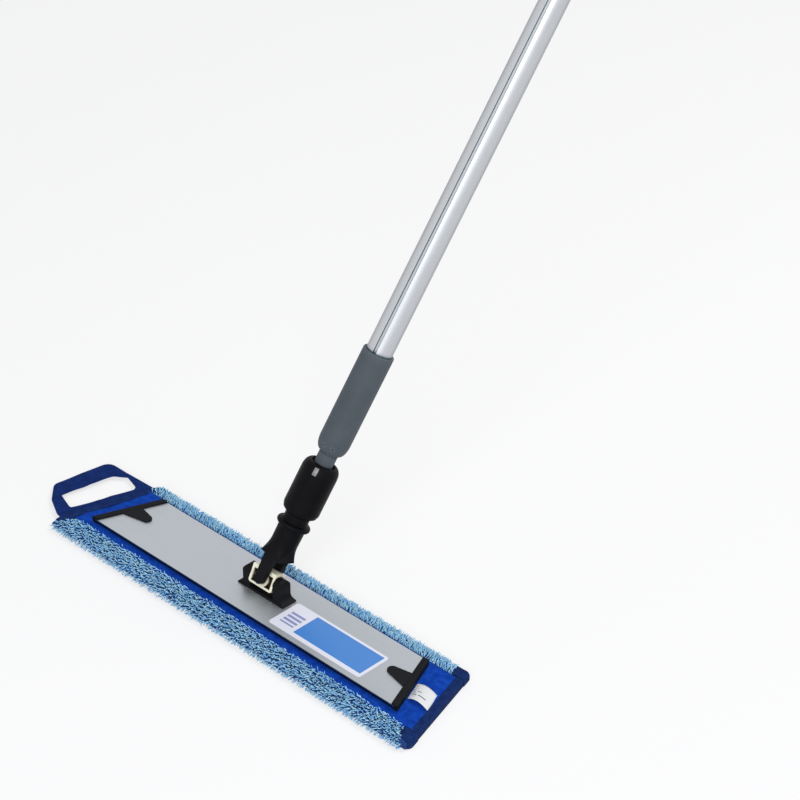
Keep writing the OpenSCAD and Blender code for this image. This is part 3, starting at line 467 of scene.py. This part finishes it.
def quilt(name, lines, columns, top, thick, inset):
    """A closed cloth slab: a grid over the pad's plan with its top at top(x, y)."""
    upper, lower = [], []
    for j in range(lines + 1):
        nominal = pad_y - field_half - 0.0008 + (2 * field_half + 0.0016) * j / lines
        a, b = pad_end(-1, nominal) + inset, pad_end(1, nominal) - inset
        for i in range(columns + 1):
            x = a + (b - a) * i / columns
            y = nominal + front_skew(x) * (1 - j / lines)
            z = top(x, y)
            upper.append((x, y, z))
            lower.append((x, y, z - thick))
    return new_object(name, upper + lower, slab_faces(columns, lines))


def face_height(x, y):
    """The top of the loop cloth: flat under the plate, a little puckered beside it."""
    free = 1.0 - plate_over(x, y)
    ends = max(0.0, (abs(x - pad_x) - 0.165) / 0.06)
    wave = (0.00028 * math.sin(x * 95 + 2.1 * math.sin(y * 60)) + 0.00022 * math.sin(x * 41 - y * 130 + 1.0)
            + ends * 0.00045 * math.sin(x * 150 + y * 260) * math.sin(y * 70 + 1.2))
    return 0.0080 + free * min(0.0007, max(-0.0008, wave))


loop_cloth, tree, shader = finish("royal_loop_cloth", Roughness=0.92, Sheen_Weight=0.12, Sheen_Roughness=0.45,
                                  Sheen_Tint=(0.1, 0.3, 1.0, 1), Specular_IOR_Level=0.05)
place = add(tree, "ShaderNodeTexCoord")
nap = noise(tree, place, 1300.0, 4.0, 0.75)
brushed = noise(tree, place, 160.0, 3.0, 0.6)
loops = add(tree, "ShaderNodeTexVoronoi", {"Scale": 950.0})
blend = add(tree, "ShaderNodeMath", {1: 0.5}, operation="MULTIPLY_ADD")
colour = two_tone(tree, blend, 0, (0.0015, 0.028, 0.27), (0.009, 0.078, 0.50), 0.48, 1.02)
fine = relief(tree, shader, loops, "Distance", 0.4, 0.0004, invert=True)
relief(tree, fine, nap, "Fac", 0.55, 0.0005)
wire(tree, (place, "Object", loops, 0), (nap, "Fac", blend, 0), (brushed, "Fac", blend, 2),
     (colour, 2, shader, "Base Color"))
loop_face = quilt("loop_face", 26, 150, face_height, 0.0014, 0.0012)
loop_face.data.materials.append(loop_cloth)
smooth(loop_face)
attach(loop_face, "pad")
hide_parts("pad_face")

navy_backing, tree, shader = finish("navy_backing", Roughness=0.9, Sheen_Weight=0.2)
place = add(tree, "ShaderNodeTexCoord")
knit = add(tree, "ShaderNodeTexWave", {"Scale": 420.0, "Distortion": 1.5, "Detail": 2.0}, bands_direction="X")
colour = two_tone(tree, knit, "Fac", (0.006, 0.016, 0.075), (0.012, 0.03, 0.13), 0.2, 0.8)
wire(tree, (place, "Object", knit, 0), (colour, 2, shader, "Base Color"))
dress(navy_backing, "pad_backing")

# ---------------------------------------------------------------------------------------------
# Yarn: every fringe and the sole are pile of twisted microfibre tufts, two plies each, light
# blue, with painted shade at the root and in the groove between the plies. A fringe tuft is
# 1.2 to 1.4 mm thick, a sole tuft 2.7 to 3.
# ---------------------------------------------------------------------------------------------


def tuft(name, long, wide, turns, bend, sides, rings):
    """One twisted tuft standing on the origin, with a ply-following UV map."""
    points, faces, uvs = [], [], []
    lobes = (1.0, 0.74) if sides == 4 else (1.0, 0.76, 0.76)
    for r in range(rings):
        t = r / (rings - 1)
        swell = (0.72, 1.0)[r > 0] if r < rings - 1 else 0.62
        for s in range(sides):
            a = 2 * math.pi * (s / sides + turns * t)
            rad = wide / 2 * swell * lobes[s % len(lobes)]
            points.append((bend * t * t + rad * math.cos(a), rad * math.sin(a), long * t * (1 - 0.12 * t)))
    tip = len(points)
    points.append((bend * 1.15, 0, long * 0.88 + wide * 0.22))
    for r in range(rings - 1):
        for s in range(sides):
            a, b = r * sides + s, r * sides + (s + 1) % sides
            faces.append((a, b, b + sides, a + sides))
            uvs += [(s / sides, r / (rings - 1)), ((s + 1) / sides, r / (rings - 1)),
                    ((s + 1) / sides, (r + 1) / (rings - 1)), (s / sides, (r + 1) / (rings - 1))]
    last = (rings - 1) * sides
    for s in range(sides):
        faces.append((last + s, last + (s + 1) % sides, tip))
        uvs += [(s / sides, 1), ((s + 1) / sides, 1), ((s + 0.5) / sides, 1.1)]
    faces.append(tuple(range(sides - 1, -1, -1)))
    uvs += [(s / sides, 0) for s in range(sides - 1, -1, -1)]
    mesh = bpy.data.meshes.new(name)
    mesh.from_pydata(points, [], faces)
    layer = mesh.uv_layers.new(name="ply")
    for i, uv in enumerate(uvs):
        layer.data[i].uv = uv
    mesh.polygons.foreach_set("use_smooth", [True] * len(mesh.polygons))
    return bpy.data.objects.new(name, mesh)


def tuft_box(name, *tufts):
    """A collection of tufts for the pile to pick from."""
    made = bpy.data.collections.new(name)
    for t in tufts:
        made.objects.link(t)
    return made


microfibre, tree, shader = finish("microfibre_yarn", Roughness=0.6, Specular_IOR_Level=0.2, Sheen_Weight=1.0,
                                  Sheen_Roughness=0.5, Sheen_Tint=(0.15, 0.55, 1.0, 1))
tone = add(tree, "ShaderNodeAttribute", attribute_name="tone")
ply = add(tree, "ShaderNodeUVMap", uv_map="ply")
split = add(tree, "ShaderNodeSeparateXYZ")
coil = add(tree, "ShaderNodeMath", {1: 2.0}, operation="MULTIPLY_ADD")
saw = add(tree, "ShaderNodeMath", {1: 0.5}, operation="PINGPONG")
# Painted shade: each tuft darkens to deep navy at its root, and the groove between its plies darkens it by up to
# a fifth.
root = add(tree, "ShaderNodeMapRange", {"From Min": -0.3, "From Max": 0.1, "To Min": 0.0, "To Max": 1.0})
place = add(tree, "ShaderNodeTexCoord")
strand = two_tone(tree, tone, "Fac", (0.17, 0.50, 1.0), (0.52, 0.86, 1.0), 0.0, 1.0)
shade = add(tree, "ShaderNodeMix", data_type="RGBA")
shade.inputs[6].default_value = (0.004, 0.03, 0.17, 1)
groove_shade = add(tree, "ShaderNodeMapRange", {"From Min": 0.0, "From Max": 0.14, "To Min": 0.8, "To Max": 1.0})
plied = add(tree, "ShaderNodeMix", {0: 1.0}, data_type="RGBA", blend_type="MULTIPLY")
bump = relief(tree, shader, noise(tree, place, 2600.0, 2.0), "Fac", 0.4, 0.0003)
own = add(tree, "ShaderNodeNewGeometry")
lifted = add(tree, "ShaderNodeVectorMath", {1: (0.5, -0.7, 1.4)}, operation="ADD")
even = add(tree, "ShaderNodeVectorMath", operation="NORMALIZE")
wire(tree, (ply, 0, split, 0), (split, "X", coil, 0), (split, "Y", coil, 2), (coil, 0, saw, 0),
     (saw, 0, groove_shade, "Value"), (split, "Y", root, "Value"), (root, 0, shade, 0), (strand, 2, shade, 7),
     (shade, 2, plied, 6), (groove_shade, 0, plied, 7), (plied, 2, shader, "Base Color"),
     (own, "Normal", lifted, 0), (lifted, 0, even, 0), (even, 0, bump, "Normal"))


def sockets(tree, taken, given):
    """Names a node group's inputs, as (name, kind), and its one output."""
    for name, kind in taken:
        tree.interface.new_socket(name=name, in_out="INPUT", socket_type="NodeSocket" + kind)
    tree.interface.new_socket(name=given, in_out="OUTPUT", socket_type="NodeSocketGeometry")


def pile_tree():
    """Geometry nodes that stand tufts on a ground: even spacing, a lean, a spread and a seed."""
    tree = bpy.data.node_groups.new("twist_pile", "GeometryNodeTree")
    sockets(tree, (("Ground", "Geometry"), ("Tufts", "Collection"), ("Spacing", "Float"), ("Lean", "Vector"),
                   ("Spread", "Float"), ("Smallest", "Float"), ("Largest", "Float"), ("Seed", "Int"),
                   ("Yarn", "Material")), "Pile")
    given = add(tree, "NodeGroupInput")
    result = add(tree, "NodeGroupOutput")
    points = add(tree, "GeometryNodeDistributePointsOnFaces", {"Density Max": 900000.0},
                 distribute_method="POISSON")
    wild = add(tree, "FunctionNodeRandomValue", data_type="FLOAT_VECTOR")
    wild.inputs[0].default_value, wild.inputs[1].default_value = (-1, -1, -1), (1, 1, 1)
    scaled = add(tree, "ShaderNodeVectorMath", operation="SCALE")
    leaning = add(tree, "ShaderNodeVectorMath", operation="ADD")
    aim = add(tree, "ShaderNodeVectorMath", operation="ADD")
    up = add(tree, "FunctionNodeAlignRotationToVector", axis="Z")
    spin = add(tree, "FunctionNodeRandomValue", data_type="FLOAT")
    spin.inputs[2].default_value, spin.inputs[3].default_value = 0.0, 2 * math.pi
    about = add(tree, "ShaderNodeCombineXYZ")
    turn = add(tree, "FunctionNodeEulerToRotation")
    turned = add(tree, "FunctionNodeRotateRotation", rotation_space="LOCAL")
    size = add(tree, "FunctionNodeRandomValue", data_type="FLOAT")
    chosen = add(tree, "GeometryNodeCollectionInfo", {"Separate Children": True, "Reset Children": True})
    stand = add(tree, "GeometryNodeInstanceOnPoints", {"Pick Instance": True})
    shade = add(tree, "FunctionNodeRandomValue", data_type="FLOAT")
    keep = add(tree, "GeometryNodeStoreNamedAttribute", {"Name": "tone"}, data_type="FLOAT", domain="INSTANCE")
    real = add(tree, "GeometryNodeRealizeInstances")
    paint = add(tree, "GeometryNodeSetMaterial")
    wire(tree, (given, "Ground", points, "Mesh"), (given, "Spacing", points, "Distance Min"),
         (given, "Seed", points, "Seed"), (wild, 0, scaled, 0), (given, "Spread", scaled, "Scale"),
         (points, "Normal", leaning, 0), (given, "Lean", leaning, 1), (leaning, 0, aim, 0), (scaled, 0, aim, 1),
         (aim, 0, up, "Vector"), (spin, 1, about, "Z"), (about, 0, turn, 0), (up, 0, turned, 0),
         (turn, 0, turned, 1),
         (given, "Smallest", size, 2), (given, "Largest", size, 3), (given, "Seed", size, "Seed"),
         (given, "Tufts", chosen, 0), (points, "Points", stand, "Points"), (chosen, 0, stand, "Instance"),
         (turned, 0, stand, "Rotation"), (size, 1, stand, "Scale"), (stand, 0, keep, "Geometry"),
         (shade, 1, keep, "Value"), (keep, 0, real, 0), (real, 0, paint, 0), (given, "Yarn", paint, "Material"),
         (paint, 0, result, 0))
    return tree


def apply_nodes(obj, tree, values):
    """Runs a node tree on an object and leaves its result as a plain mesh."""
    modifier = obj.modifiers.new("made", "NODES")
    modifier.node_group = tree
    for socket in tree.interface.items_tree:
        if socket.in_out == "INPUT" and socket.name in values:
            modifier[socket.identifier] = values[socket.name]
    bpy.context.view_layer.update()
    graph = bpy.context.evaluated_depsgraph_get()
    graph.update()
    made = bpy.data.meshes.new_from_object(obj.evaluated_get(graph), preserve_all_data_layers=True,
                                           depsgraph=graph)
    obj.modifiers.clear()
    obj.data = made
    made.name = obj.name


def keep_above(obj, z=0.0002):
    """Presses what would reach through the floor flat on it."""
    co = np.zeros(len(obj.data.vertices) * 3, np.float32)
    obj.data.vertices.foreach_get("co", co)
    co = co.reshape(-1, 3)
    co[:, 2] = np.maximum(co[:, 2], z)
    obj.data.vertices.foreach_set("co", co.ravel())
    obj.data.update()


pile_nodes = pile_tree()

# ---------------------------------------------------------------------------------------------
# Fringes: a thick roll of tufts sewn along each long side, spilling out and down to the floor
# and standing ragged against the blue ground. Under the tufts lies a folded base, its dark
# navy a painted shade that shows in the gaps between the tufts.
# ---------------------------------------------------------------------------------------------
# Painted shade: the base is dark navy so that the gaps between the tufts read as shade.
yarn_base, tree, shader = finish("yarn_base", Roughness=0.95)
place = add(tree, "ShaderNodeTexCoord")
mottle = noise(tree, place, 700.0, 3.0)
colour = two_tone(tree, mottle, "Fac", (0.003, 0.02, 0.10), (0.012, 0.07, 0.28), 0.35, 0.7)
wire(tree, (colour, 2, shader, "Base Color"))

fringe_tufts = tuft_box("fringe_tufts", tuft("tuft_a", 0.0047, 0.0013, 0.5, 0.0010, 4, 4),
                        tuft("tuft_b", 0.0053, 0.0012, 0.6, 0.0016, 4, 4),
                        tuft("tuft_c", 0.0042, 0.0014, 0.4, -0.0006, 4, 4))
fringe_section = [(0.0002, 0.0016), (0.0118, 0.0016), (0.0129, 0.0024), (0.0131, 0.0042), (0.0122, 0.0056),
                  (0.0102, 0.0064), (0.0060, 0.0066), (0.0022, 0.0066), (0.0002, 0.0060)]


front_spread, front_flare, right_cut, fringe_steps = 1.26, 0.6, 0.0145, 60


def swept(name, side, section, closed, insets, flare=0.0):
    """A section drawn along a long side of the pad, its ends cut back from the pad's slant."""
    points, n = [], len(section)
    for i in range(fringe_steps + 1):
        for a, z in section:
            y = pad_y + side * (field_half + a * (front_spread if side < 0 else 1.0))
            x0, x1 = pad_end(-1, y) + insets[0] - flare * a, pad_end(1, y) - insets[1] + flare * a
            x = x0 + (x1 - x0) * i / fringe_steps
            points.append((x, y + (front_skew(x) if side < 0 else 0.0), z))
    if closed:
        return new_object(name, points, tube_faces(fringe_steps + 1, n, side < 0))
    faces = []
    for i in range(fringe_steps):
        for a in range(i * n, i * n + n - 1):
            quad = (a, a + 1, a + 1 + n, a + n)
            faces.append(quad[::-1] if side < 0 else quad)
    return new_object(name, points, faces)


for side, label, cut in ((-1, "front", 0.012), (1, "back", 0.004)):
    core = swept("fringe_base_" + label, side, fringe_section, True, (0.002, 0.002))
    core.data.materials.append(yarn_base)
    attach(core, "pad")
    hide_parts("fringe_" + label)
    line = fringe_section[1:]
    if side < 0:
        line = line[:5] + [(0.0060, 0.0070), (0.0024, 0.0077), (-0.0002, 0.0083), (-0.0017, 0.0083)]
    outer = swept("fringe_yarn_" + label, side, line, False, (cut, right_cut), front_flare if side < 0 else 0.0)
    apply_nodes(outer, pile_nodes, {"Tufts": fringe_tufts, "Spacing": 0.0013, "Lean": (0, side * 1.0, 0.1),
                                    "Spread": 0.55, "Smallest": 0.88, "Largest": 1.08, "Seed": 11 + side,
                                    "Yarn": microfibre})
    keep_above(outer)
    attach(outer, "pad")

# ---------------------------------------------------------------------------------------------
# Sole: the underside is a dense pile of the same yarn in plumper tufts, sewn to the backing and
# pressed flat where it meets the floor.
# ---------------------------------------------------------------------------------------------
sole_tufts = tuft_box("sole_tufts", tuft("tuft_s", 0.0052, 0.0027, 0.35, 0.0010, 4, 4),
                      tuft("tuft_t", 0.0048, 0.0030, 0.45, -0.0012, 4, 4))
corners = [(pad_end(side, y) - side * 0.0042, y, 0.0049) for side, y in
           ((-1, pad_y - field_half), (-1, pad_y + field_half), (1, pad_y + field_half), (1, pad_y - field_half))]
sole_pile = new_object("sole_pile", corners, [(0, 1, 2, 3)])
apply_nodes(sole_pile, pile_nodes, {"Tufts": sole_tufts, "Spacing": 0.0024, "Lean": (0.1, 0.0, 0.0),
                                    "Spread": 0.5, "Smallest": 0.85, "Largest": 1.1, "Seed": 5,
                                    "Yarn": microfibre})
keep_above(sole_pile)
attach(sole_pile, "pad")
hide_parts("pad_pile")

# ---------------------------------------------------------------------------------------------
# Bindings: navy woven tape folded round each slanted end of the pad and sewn through. At both
# corners the tape's own end is turned back, so a wider and thicker square patch lies there.
# ---------------------------------------------------------------------------------------------


def woven(name, dark, light, pitch, rough=0.8):
    """Narrow woven tape: ribs across and along it, read from its own UV map in metres."""
    material, tree, shader = finish(name, Roughness=rough, Specular_IOR_Level=0.06)
    lay = add(tree, "ShaderNodeUVMap", uv_map="weave")
    warp, weft = (add(tree, "ShaderNodeTexWave", {"Scale": share / pitch, "Distortion": bend, "Detail": 1.0},
                      bands_direction=axis) for share, bend, axis in ((0.31, 0.6, "X"), (0.22, 0.8, "Y")))
    wear_and_edge_highlight = add(tree, "ShaderNodeTexNoise", {"Scale": 140.0, "Detail": 3.0})
    mixed = add(tree, "ShaderNodeMath", operation="MULTIPLY")
    tone = add(tree, "ShaderNodeMath", {1: 0.45}, operation="MULTIPLY_ADD")
    colour = two_tone(tree, tone, 0, dark, light, 0.35, 0.95)
    relief(tree, shader, mixed, 0, 0.6, 0.0003)
    wire(tree, (lay, 0, warp, 0), (lay, 0, weft, 0), (lay, 0, wear_and_edge_highlight, 0), (warp, "Fac", mixed, 0),
         (weft, "Fac", mixed, 1), (mixed, 0, tone, 0), (wear_and_edge_highlight, "Fac", tone, 2),
         (colour, 2, shader, "Base Color"))
    return material


def lay_uv(obj, name, coordinates):
    """Writes one UV coordinate for each vertex."""
    layer = obj.data.uv_layers.new(name=name)
    index = np.zeros(len(obj.data.loops), np.int32)
    obj.data.loops.foreach_get("vertex_index", index)
    layer.data.foreach_set("uv", np.array(coordinates, np.float32)[index].ravel())


def end_tape(name, side, stops, width, proud, ruffle):
    """A tape round a pad end. `stops` are (y, share of the full height) along the end."""
    points, uvs = [], []
    thick = 0.0006
    for y, share in stops:
        near = min(y - (pad_y - pad_w / 2 - 0.0007), 1.0)
        far = min(pad_y + pad_w / 2 + 0.0007 - y, 1.0)
        pull = 0.0
        for room, radius in ((near, 0.008), (far, 0.005)):
            if room < radius:
                pull += radius - math.sqrt(max(0.0, radius ** 2 - (radius - room) ** 2))
        over_field = max(0.0, min(1.0, (field_half - abs(y - pad_y)) / 0.004))
        low_end = 0.0034 * min(1.0, max(0.0, (abs(y - pad_y) - field_half + 0.002) / 0.017)) ** 1.3
        wave = ruffle * (math.sin(y * 520 + 1.3 * side) + 0.6 * math.sin(y * 1130))
        top = 0.0091 + proud - low_end
        inner = top - 0.0005 + 0.0002 * over_field
        line = [(-proud - 0.0007, 0.0008), (-proud - 0.0007, 0.0045), (-proud - 0.0006, top - 0.0022)]
        line += [(0.0011 - 0.0017 * math.cos(a), top - 0.0017 + 0.0017 * math.sin(a)) for a in
                 (math.radians(d) for d in (15, 40, 65, 90))]
        line += [(0.0011 + (width - 0.0011) * t, top + (inner - top) * t + wave * math.sin(math.pi * t))
                 for t in (0.2, 0.4, 0.6, 0.8, 0.93)]
        line.append((width, inner - 0.0004))
        under = [(w + thick * (0.9 if w < 0.0011 else 0.0) * (1 if w < width - 0.001 else 0), z - thick * (
            0.0 if z < 0.006 else 0.9)) for w, z in line]
        ring = line + under[::-1]
        for k, (w, z) in enumerate(ring):
            points.append((pad_end(side, y) - side * (w + pull), y, 0.0008 + (z - 0.0008) * share))
            uvs.append((y, (k if k < len(line) else 2 * len(line) - 1 - k) * 0.0014))
    made = new_object(name, points, tube_faces(len(stops), 2 * len(line), side > 0))
    lay_uv(made, "weave", uvs)
    return made


navy_tape = woven("navy_tape", (0.004, 0.014, 0.075), (0.012, 0.040, 0.165), 0.0011)
thread = finish("navy_thread", Base_Color=(0.02, 0.05, 0.19, 1), Roughness=0.55)[0]
front, back = pad_y - pad_w / 2 - 0.0007, pad_y + pad_w / 2 + 0.0007
closed_front = [(front + y, share) for y, share in
                ((0.0, 0.05), (0.0, 0.35), (0.0001, 0.65), (0.0004, 0.85), (0.0010, 0.95))]
closed_back = [(2 * pad_y - y, share) for y, share in reversed(closed_front)]
fold = (0.0142, 0.0006, 0.0001)  # width, height above the tape, ruffle
for side, label, ruffle, width in ((-1, "left", 0.00028, 0.0092), (1, "right", 0.00006, 0.0074)):
    middle = [(front + 0.002 + (back - front - 0.004) * i / 70, 1.0) for i in range(71)]
    tape = end_tape("tape_" + label, side, closed_front + middle + closed_back, width, 0.0, ruffle)
    patch_a = end_tape("tape_fold_front_" + label, side, closed_front + [(front + 0.002 + 0.0145 * i / 12, 1.0)
                       for i in range(13)], *fold)
    patch_b = end_tape("tape_fold_back_" + label, side, [(back - 0.002 - 0.0125 * i / 12, 1.0)
                       for i in range(12, -1, -1)] + closed_back, *fold)
    for piece in (tape, patch_a, patch_b):
        piece.data.materials.append(navy_tape)
        smooth(piece)
        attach(piece, "pad")
    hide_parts("binding_" + label)


def stitch_tree():
    """Geometry nodes that set stitches of one length and pitch along the edges of a line."""
    tree = bpy.data.node_groups.new("stitch_row", "GeometryNodeTree")
    sockets(tree, (("Line", "Geometry"), ("Pitch", "Float"), ("Length", "Float"), ("Thickness", "Float"),
                   ("Yarn", "Material")), "Stitches")
    given, result = add(tree, "NodeGroupInput"), add(tree, "NodeGroupOutput")
    curve = add(tree, "GeometryNodeMeshToCurve")
    spaced = add(tree, "GeometryNodeResampleCurve", mode="LENGTH")
    ahead = add(tree, "GeometryNodeInputTangent")
    aim = add(tree, "FunctionNodeAlignRotationToVector", axis="X")
    bead = add(tree, "GeometryNodeMeshUVSphere", {"Segments": 8, "Rings": 5, "Radius": 0.5})
    form = add(tree, "ShaderNodeCombineXYZ")
    stand = add(tree, "GeometryNodeInstanceOnPoints")
    real = add(tree, "GeometryNodeRealizeInstances")
    paint = add(tree, "GeometryNodeSetMaterial")
    wire(tree, (given, "Line", curve, 0), (curve, 0, spaced, "Curve"), (given, "Pitch", spaced, "Length"),
         (ahead, 0, aim, "Vector"), (spaced, 0, stand, "Points"), (bead, "Mesh", stand, "Instance"),
         (aim, 0, stand, "Rotation"), (given, "Length", form, "X"), (given, "Thickness", form, "Y"),
         (given, "Thickness", form, "Z"), (form, 0, stand, "Scale"), (stand, 0, real, 0), (real, 0, paint, 0),
         (given, "Yarn", paint, "Material"), (paint, 0, result, 0))
    return tree


stitch_nodes = stitch_tree()


def stitch_row(name, path):
    """A row of machine stitches along a path of points."""
    made = new_object(name, path, [], edges=[(i, i + 1) for i in range(len(path) - 1)])
    apply_nodes(made, stitch_nodes, {"Pitch": 0.0031, "Length": 0.0026, "Thickness": 0.0006, "Yarn": thread})
    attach(made, "pad")
    return made


stitch_z = 0.00835
for side, label, inset in ((-1, "left", 0.0078), (1, "right", 0.0060)):
    path = []
    for i in range(41):
        y = pad_y + (field_half - 0.001) * (2 * i / 40 - 1)
        path.append((pad_end(side, y) - side * inset, y, stitch_z))
    stitch_row("tape_stitches_" + label, path)

# ---------------------------------------------------------------------------------------------
# Hang loop: navy webbing taken once round the left end as a flat ring, its root caught under
# the binding. A finger or a hook goes through the gap.
# ---------------------------------------------------------------------------------------------


def round_corners(corners, steps=6):
    """An outline with each corner (x, y, radius) drawn as an arc; all corners turn left."""
    ring = []
    for i, (x, y, radius) in enumerate(corners):
        here = Vector((x, y))
        u = (Vector(corners[i - 1][:2]) - here).normalized()
        v = (Vector(corners[(i + 1) % len(corners)][:2]) - here).normalized()
        half = math.acos(max(-1, min(1, u.dot(v)))) / 2
        middle = here + (u + v).normalized() * radius / math.sin(half)
        start = here + u * radius / math.tan(half) - middle
        begin = math.atan2(start.y, start.x)
        for k in range(steps + 1):
            a = begin + (math.pi - 2 * half) * k / steps
            ring.append(middle + Vector((math.cos(a), math.sin(a))) * radius)
    return ring


def reach(outline, origin, angle):
    """How far a ray from the origin runs before it crosses the outline."""
    way = Vector((math.cos(angle), math.sin(angle)))
    best = 0.0
    for i, a in enumerate(outline):
        side_way = outline[(i + 1) % len(outline)] - a
        cross = way.x * side_way.y - way.y * side_way.x
        if abs(cross) < 1e-12:
            continue
        rel = a - origin
        t = (rel.x * side_way.y - rel.y * side_way.x) / cross
        s = (rel.x * way.y - rel.y * way.x) / cross
        if t > 0 and 0 <= s <= 1:
            best = max(best, t)
    return best


loop_at = Vector((pad_x - pad_mid, pad_y))
loop_outer = [p + loop_at for p in round_corners([(-0.0645, -0.013, 0.010), (-0.0452, -0.032, 0.020),
              (-0.0226, -0.044, 0.012), (0, -0.047, 0.001), (0.0201, 0.051, 0.001), (-0.0545, 0.049, 0.010)])]
loop_inner = [p + loop_at for p in round_corners([(-0.0445, -0.020, 0.002), (-0.0218, -0.028, 0.003),
              (-0.0007, 0.0382, 0.005), (-0.0225, 0.045, 0.002), (-0.0335, 0.036, 0.008)])]
gap_middle = loop_at + Vector((-0.0245, 0.008))
points, uvs = [], []
around, lanes, loop_z = 180, 12, 0.0039
travelled, last = 0.0, None
for i in range(around):
    a = 2 * math.pi * i / around
    way = Vector((math.cos(a), math.sin(a)))
    inner, outer = reach(loop_inner, gap_middle, a), reach(loop_outer, gap_middle, a)
    edge = gap_middle + way * outer
    limit = pad_end(-1, edge.y) - 0.0009
    if edge.x > limit:
        slope = way.x + pad_slant * -way.y
        outer = min(outer, (pad_end(-1, gap_middle.y) - 0.0009 - gap_middle.x) / slope if slope > 1e-6 else outer)
    spot = gap_middle + way * (inner + outer) / 2
    travelled += (spot - last).length if last else 0.0
    last = spot
    sag = 0.00025 * math.sin(3 * a + 0.7) + 0.00015 * math.sin(7 * a)
    for under in (0, 1):
        for k in range(lanes):
            t = k / (lanes - 1) if not under else 1 - k / (lanes - 1)
            rim = min(t, 1 - t) * (outer - inner)
            soft = 0.0009 * (1 - max(0.0, 1 - rim / 0.0012) ** 2) ** 0.5
            r = inner + (outer - inner) * t
            p = gap_middle + way * r
            points.append((p.x, p.y, loop_z + sag + (-soft if under else soft)))
            uvs.append((travelled, (outer - inner) * t))
ring = 2 * lanes
faces = []
for i in range(around):
    here, ahead = i * ring, (i + 1) % around * ring
    faces += [(here + k, here + (k + 1) % ring, ahead + (k + 1) % ring, ahead + k) for k in range(ring)]
webbing_loop = new_object("webbing_loop", points, faces)
lay_uv(webbing_loop, "weave", uvs)
webbing_loop.data.materials.append(woven("navy_webbing", (0.003, 0.014, 0.085), (0.010, 0.036, 0.19), 0.0016))
smooth(webbing_loop)
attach(webbing_loop, "pad")
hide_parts("hang_loop")

# ---------------------------------------------------------------------------------------------
# Care tag: a white satin tape that arches up between the right end cap and the right binding.
# Its print is left generic: a few grey dashes with no words.
# ---------------------------------------------------------------------------------------------
low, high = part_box("care_tag")
tag_turn = math.atan(plate_slant)
tag_y0, tag_y1 = low.y, high.y
points, uvs = [], []
along, across = 22, 10
tag_long, tag_start = 0.0228, 0.0044 * math.cos(tag_turn) + 0.0006
for under in (0, 1):
    for j in range(across + 1):
        y = tag_y0 + (tag_y1 - tag_y0) * j / across
        for i in range(along + 1):
            u = i / along
            w = tag_start + tag_long * u
            x = plate_half + (w - math.sin(tag_turn) * y) / math.cos(tag_turn)
            z = 0.0084 + 0.0038 * math.sin(math.pi * u) ** 0.9 * (1 - 0.10 * j / across) - 0.0003 * under
            points.append((x, y, z))
            uvs.append((u, j / across))
tag = new_object("satin_tag", points, slab_faces(along, across))
lay_uv(tag, "print", uvs)
satin, tree, shader = finish("satin_tape", Roughness=0.5, Sheen_Weight=0.2, Specular_IOR_Level=0.35)
lay = add(tree, "ShaderNodeUVMap", uv_map="print")
split = add(tree, "ShaderNodeSeparateXYZ")
thread_lines = add(tree, "ShaderNodeTexWave", {"Scale": 22.0, "Distortion": 0.4}, bands_direction="Y")
wire(tree, (lay, 0, split, 0), (lay, 0, thread_lines, 0))
under = two_tone(tree, thread_lines, "Fac", (0.70, 0.715, 0.74), (0.78, 0.79, 0.81), 0.0, 1.0)
for u0, u1, v0, v1, ink in (
        (0.05, 0.16, 0.80, 0.85, 0.35), (0.06, 0.22, 0.68, 0.72, 0.45), (0.04, 0.14, 0.55, 0.60, 0.1),
        (0.24, 0.44, 0.52, 0.56, 0.12), (0.05, 0.19, 0.43, 0.48, 0.12), (0.06, 0.28, 0.28, 0.35, 0.2),
        (0.36, 0.74, 0.30, 0.35, 0.08), (0.08, 0.24, 0.17, 0.21, 0.4)):
    mask = both(tree, between(tree, split, "X", u0, u1), between(tree, split, "Y", v0, v1))
    under = printed(tree, under, mask, (ink, ink, ink))
wire(tree, (under, 2, shader, "Base Color"))
tag.data.materials.append(satin)
smooth(tag)
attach(tag, "pad")
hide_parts("care_tag")
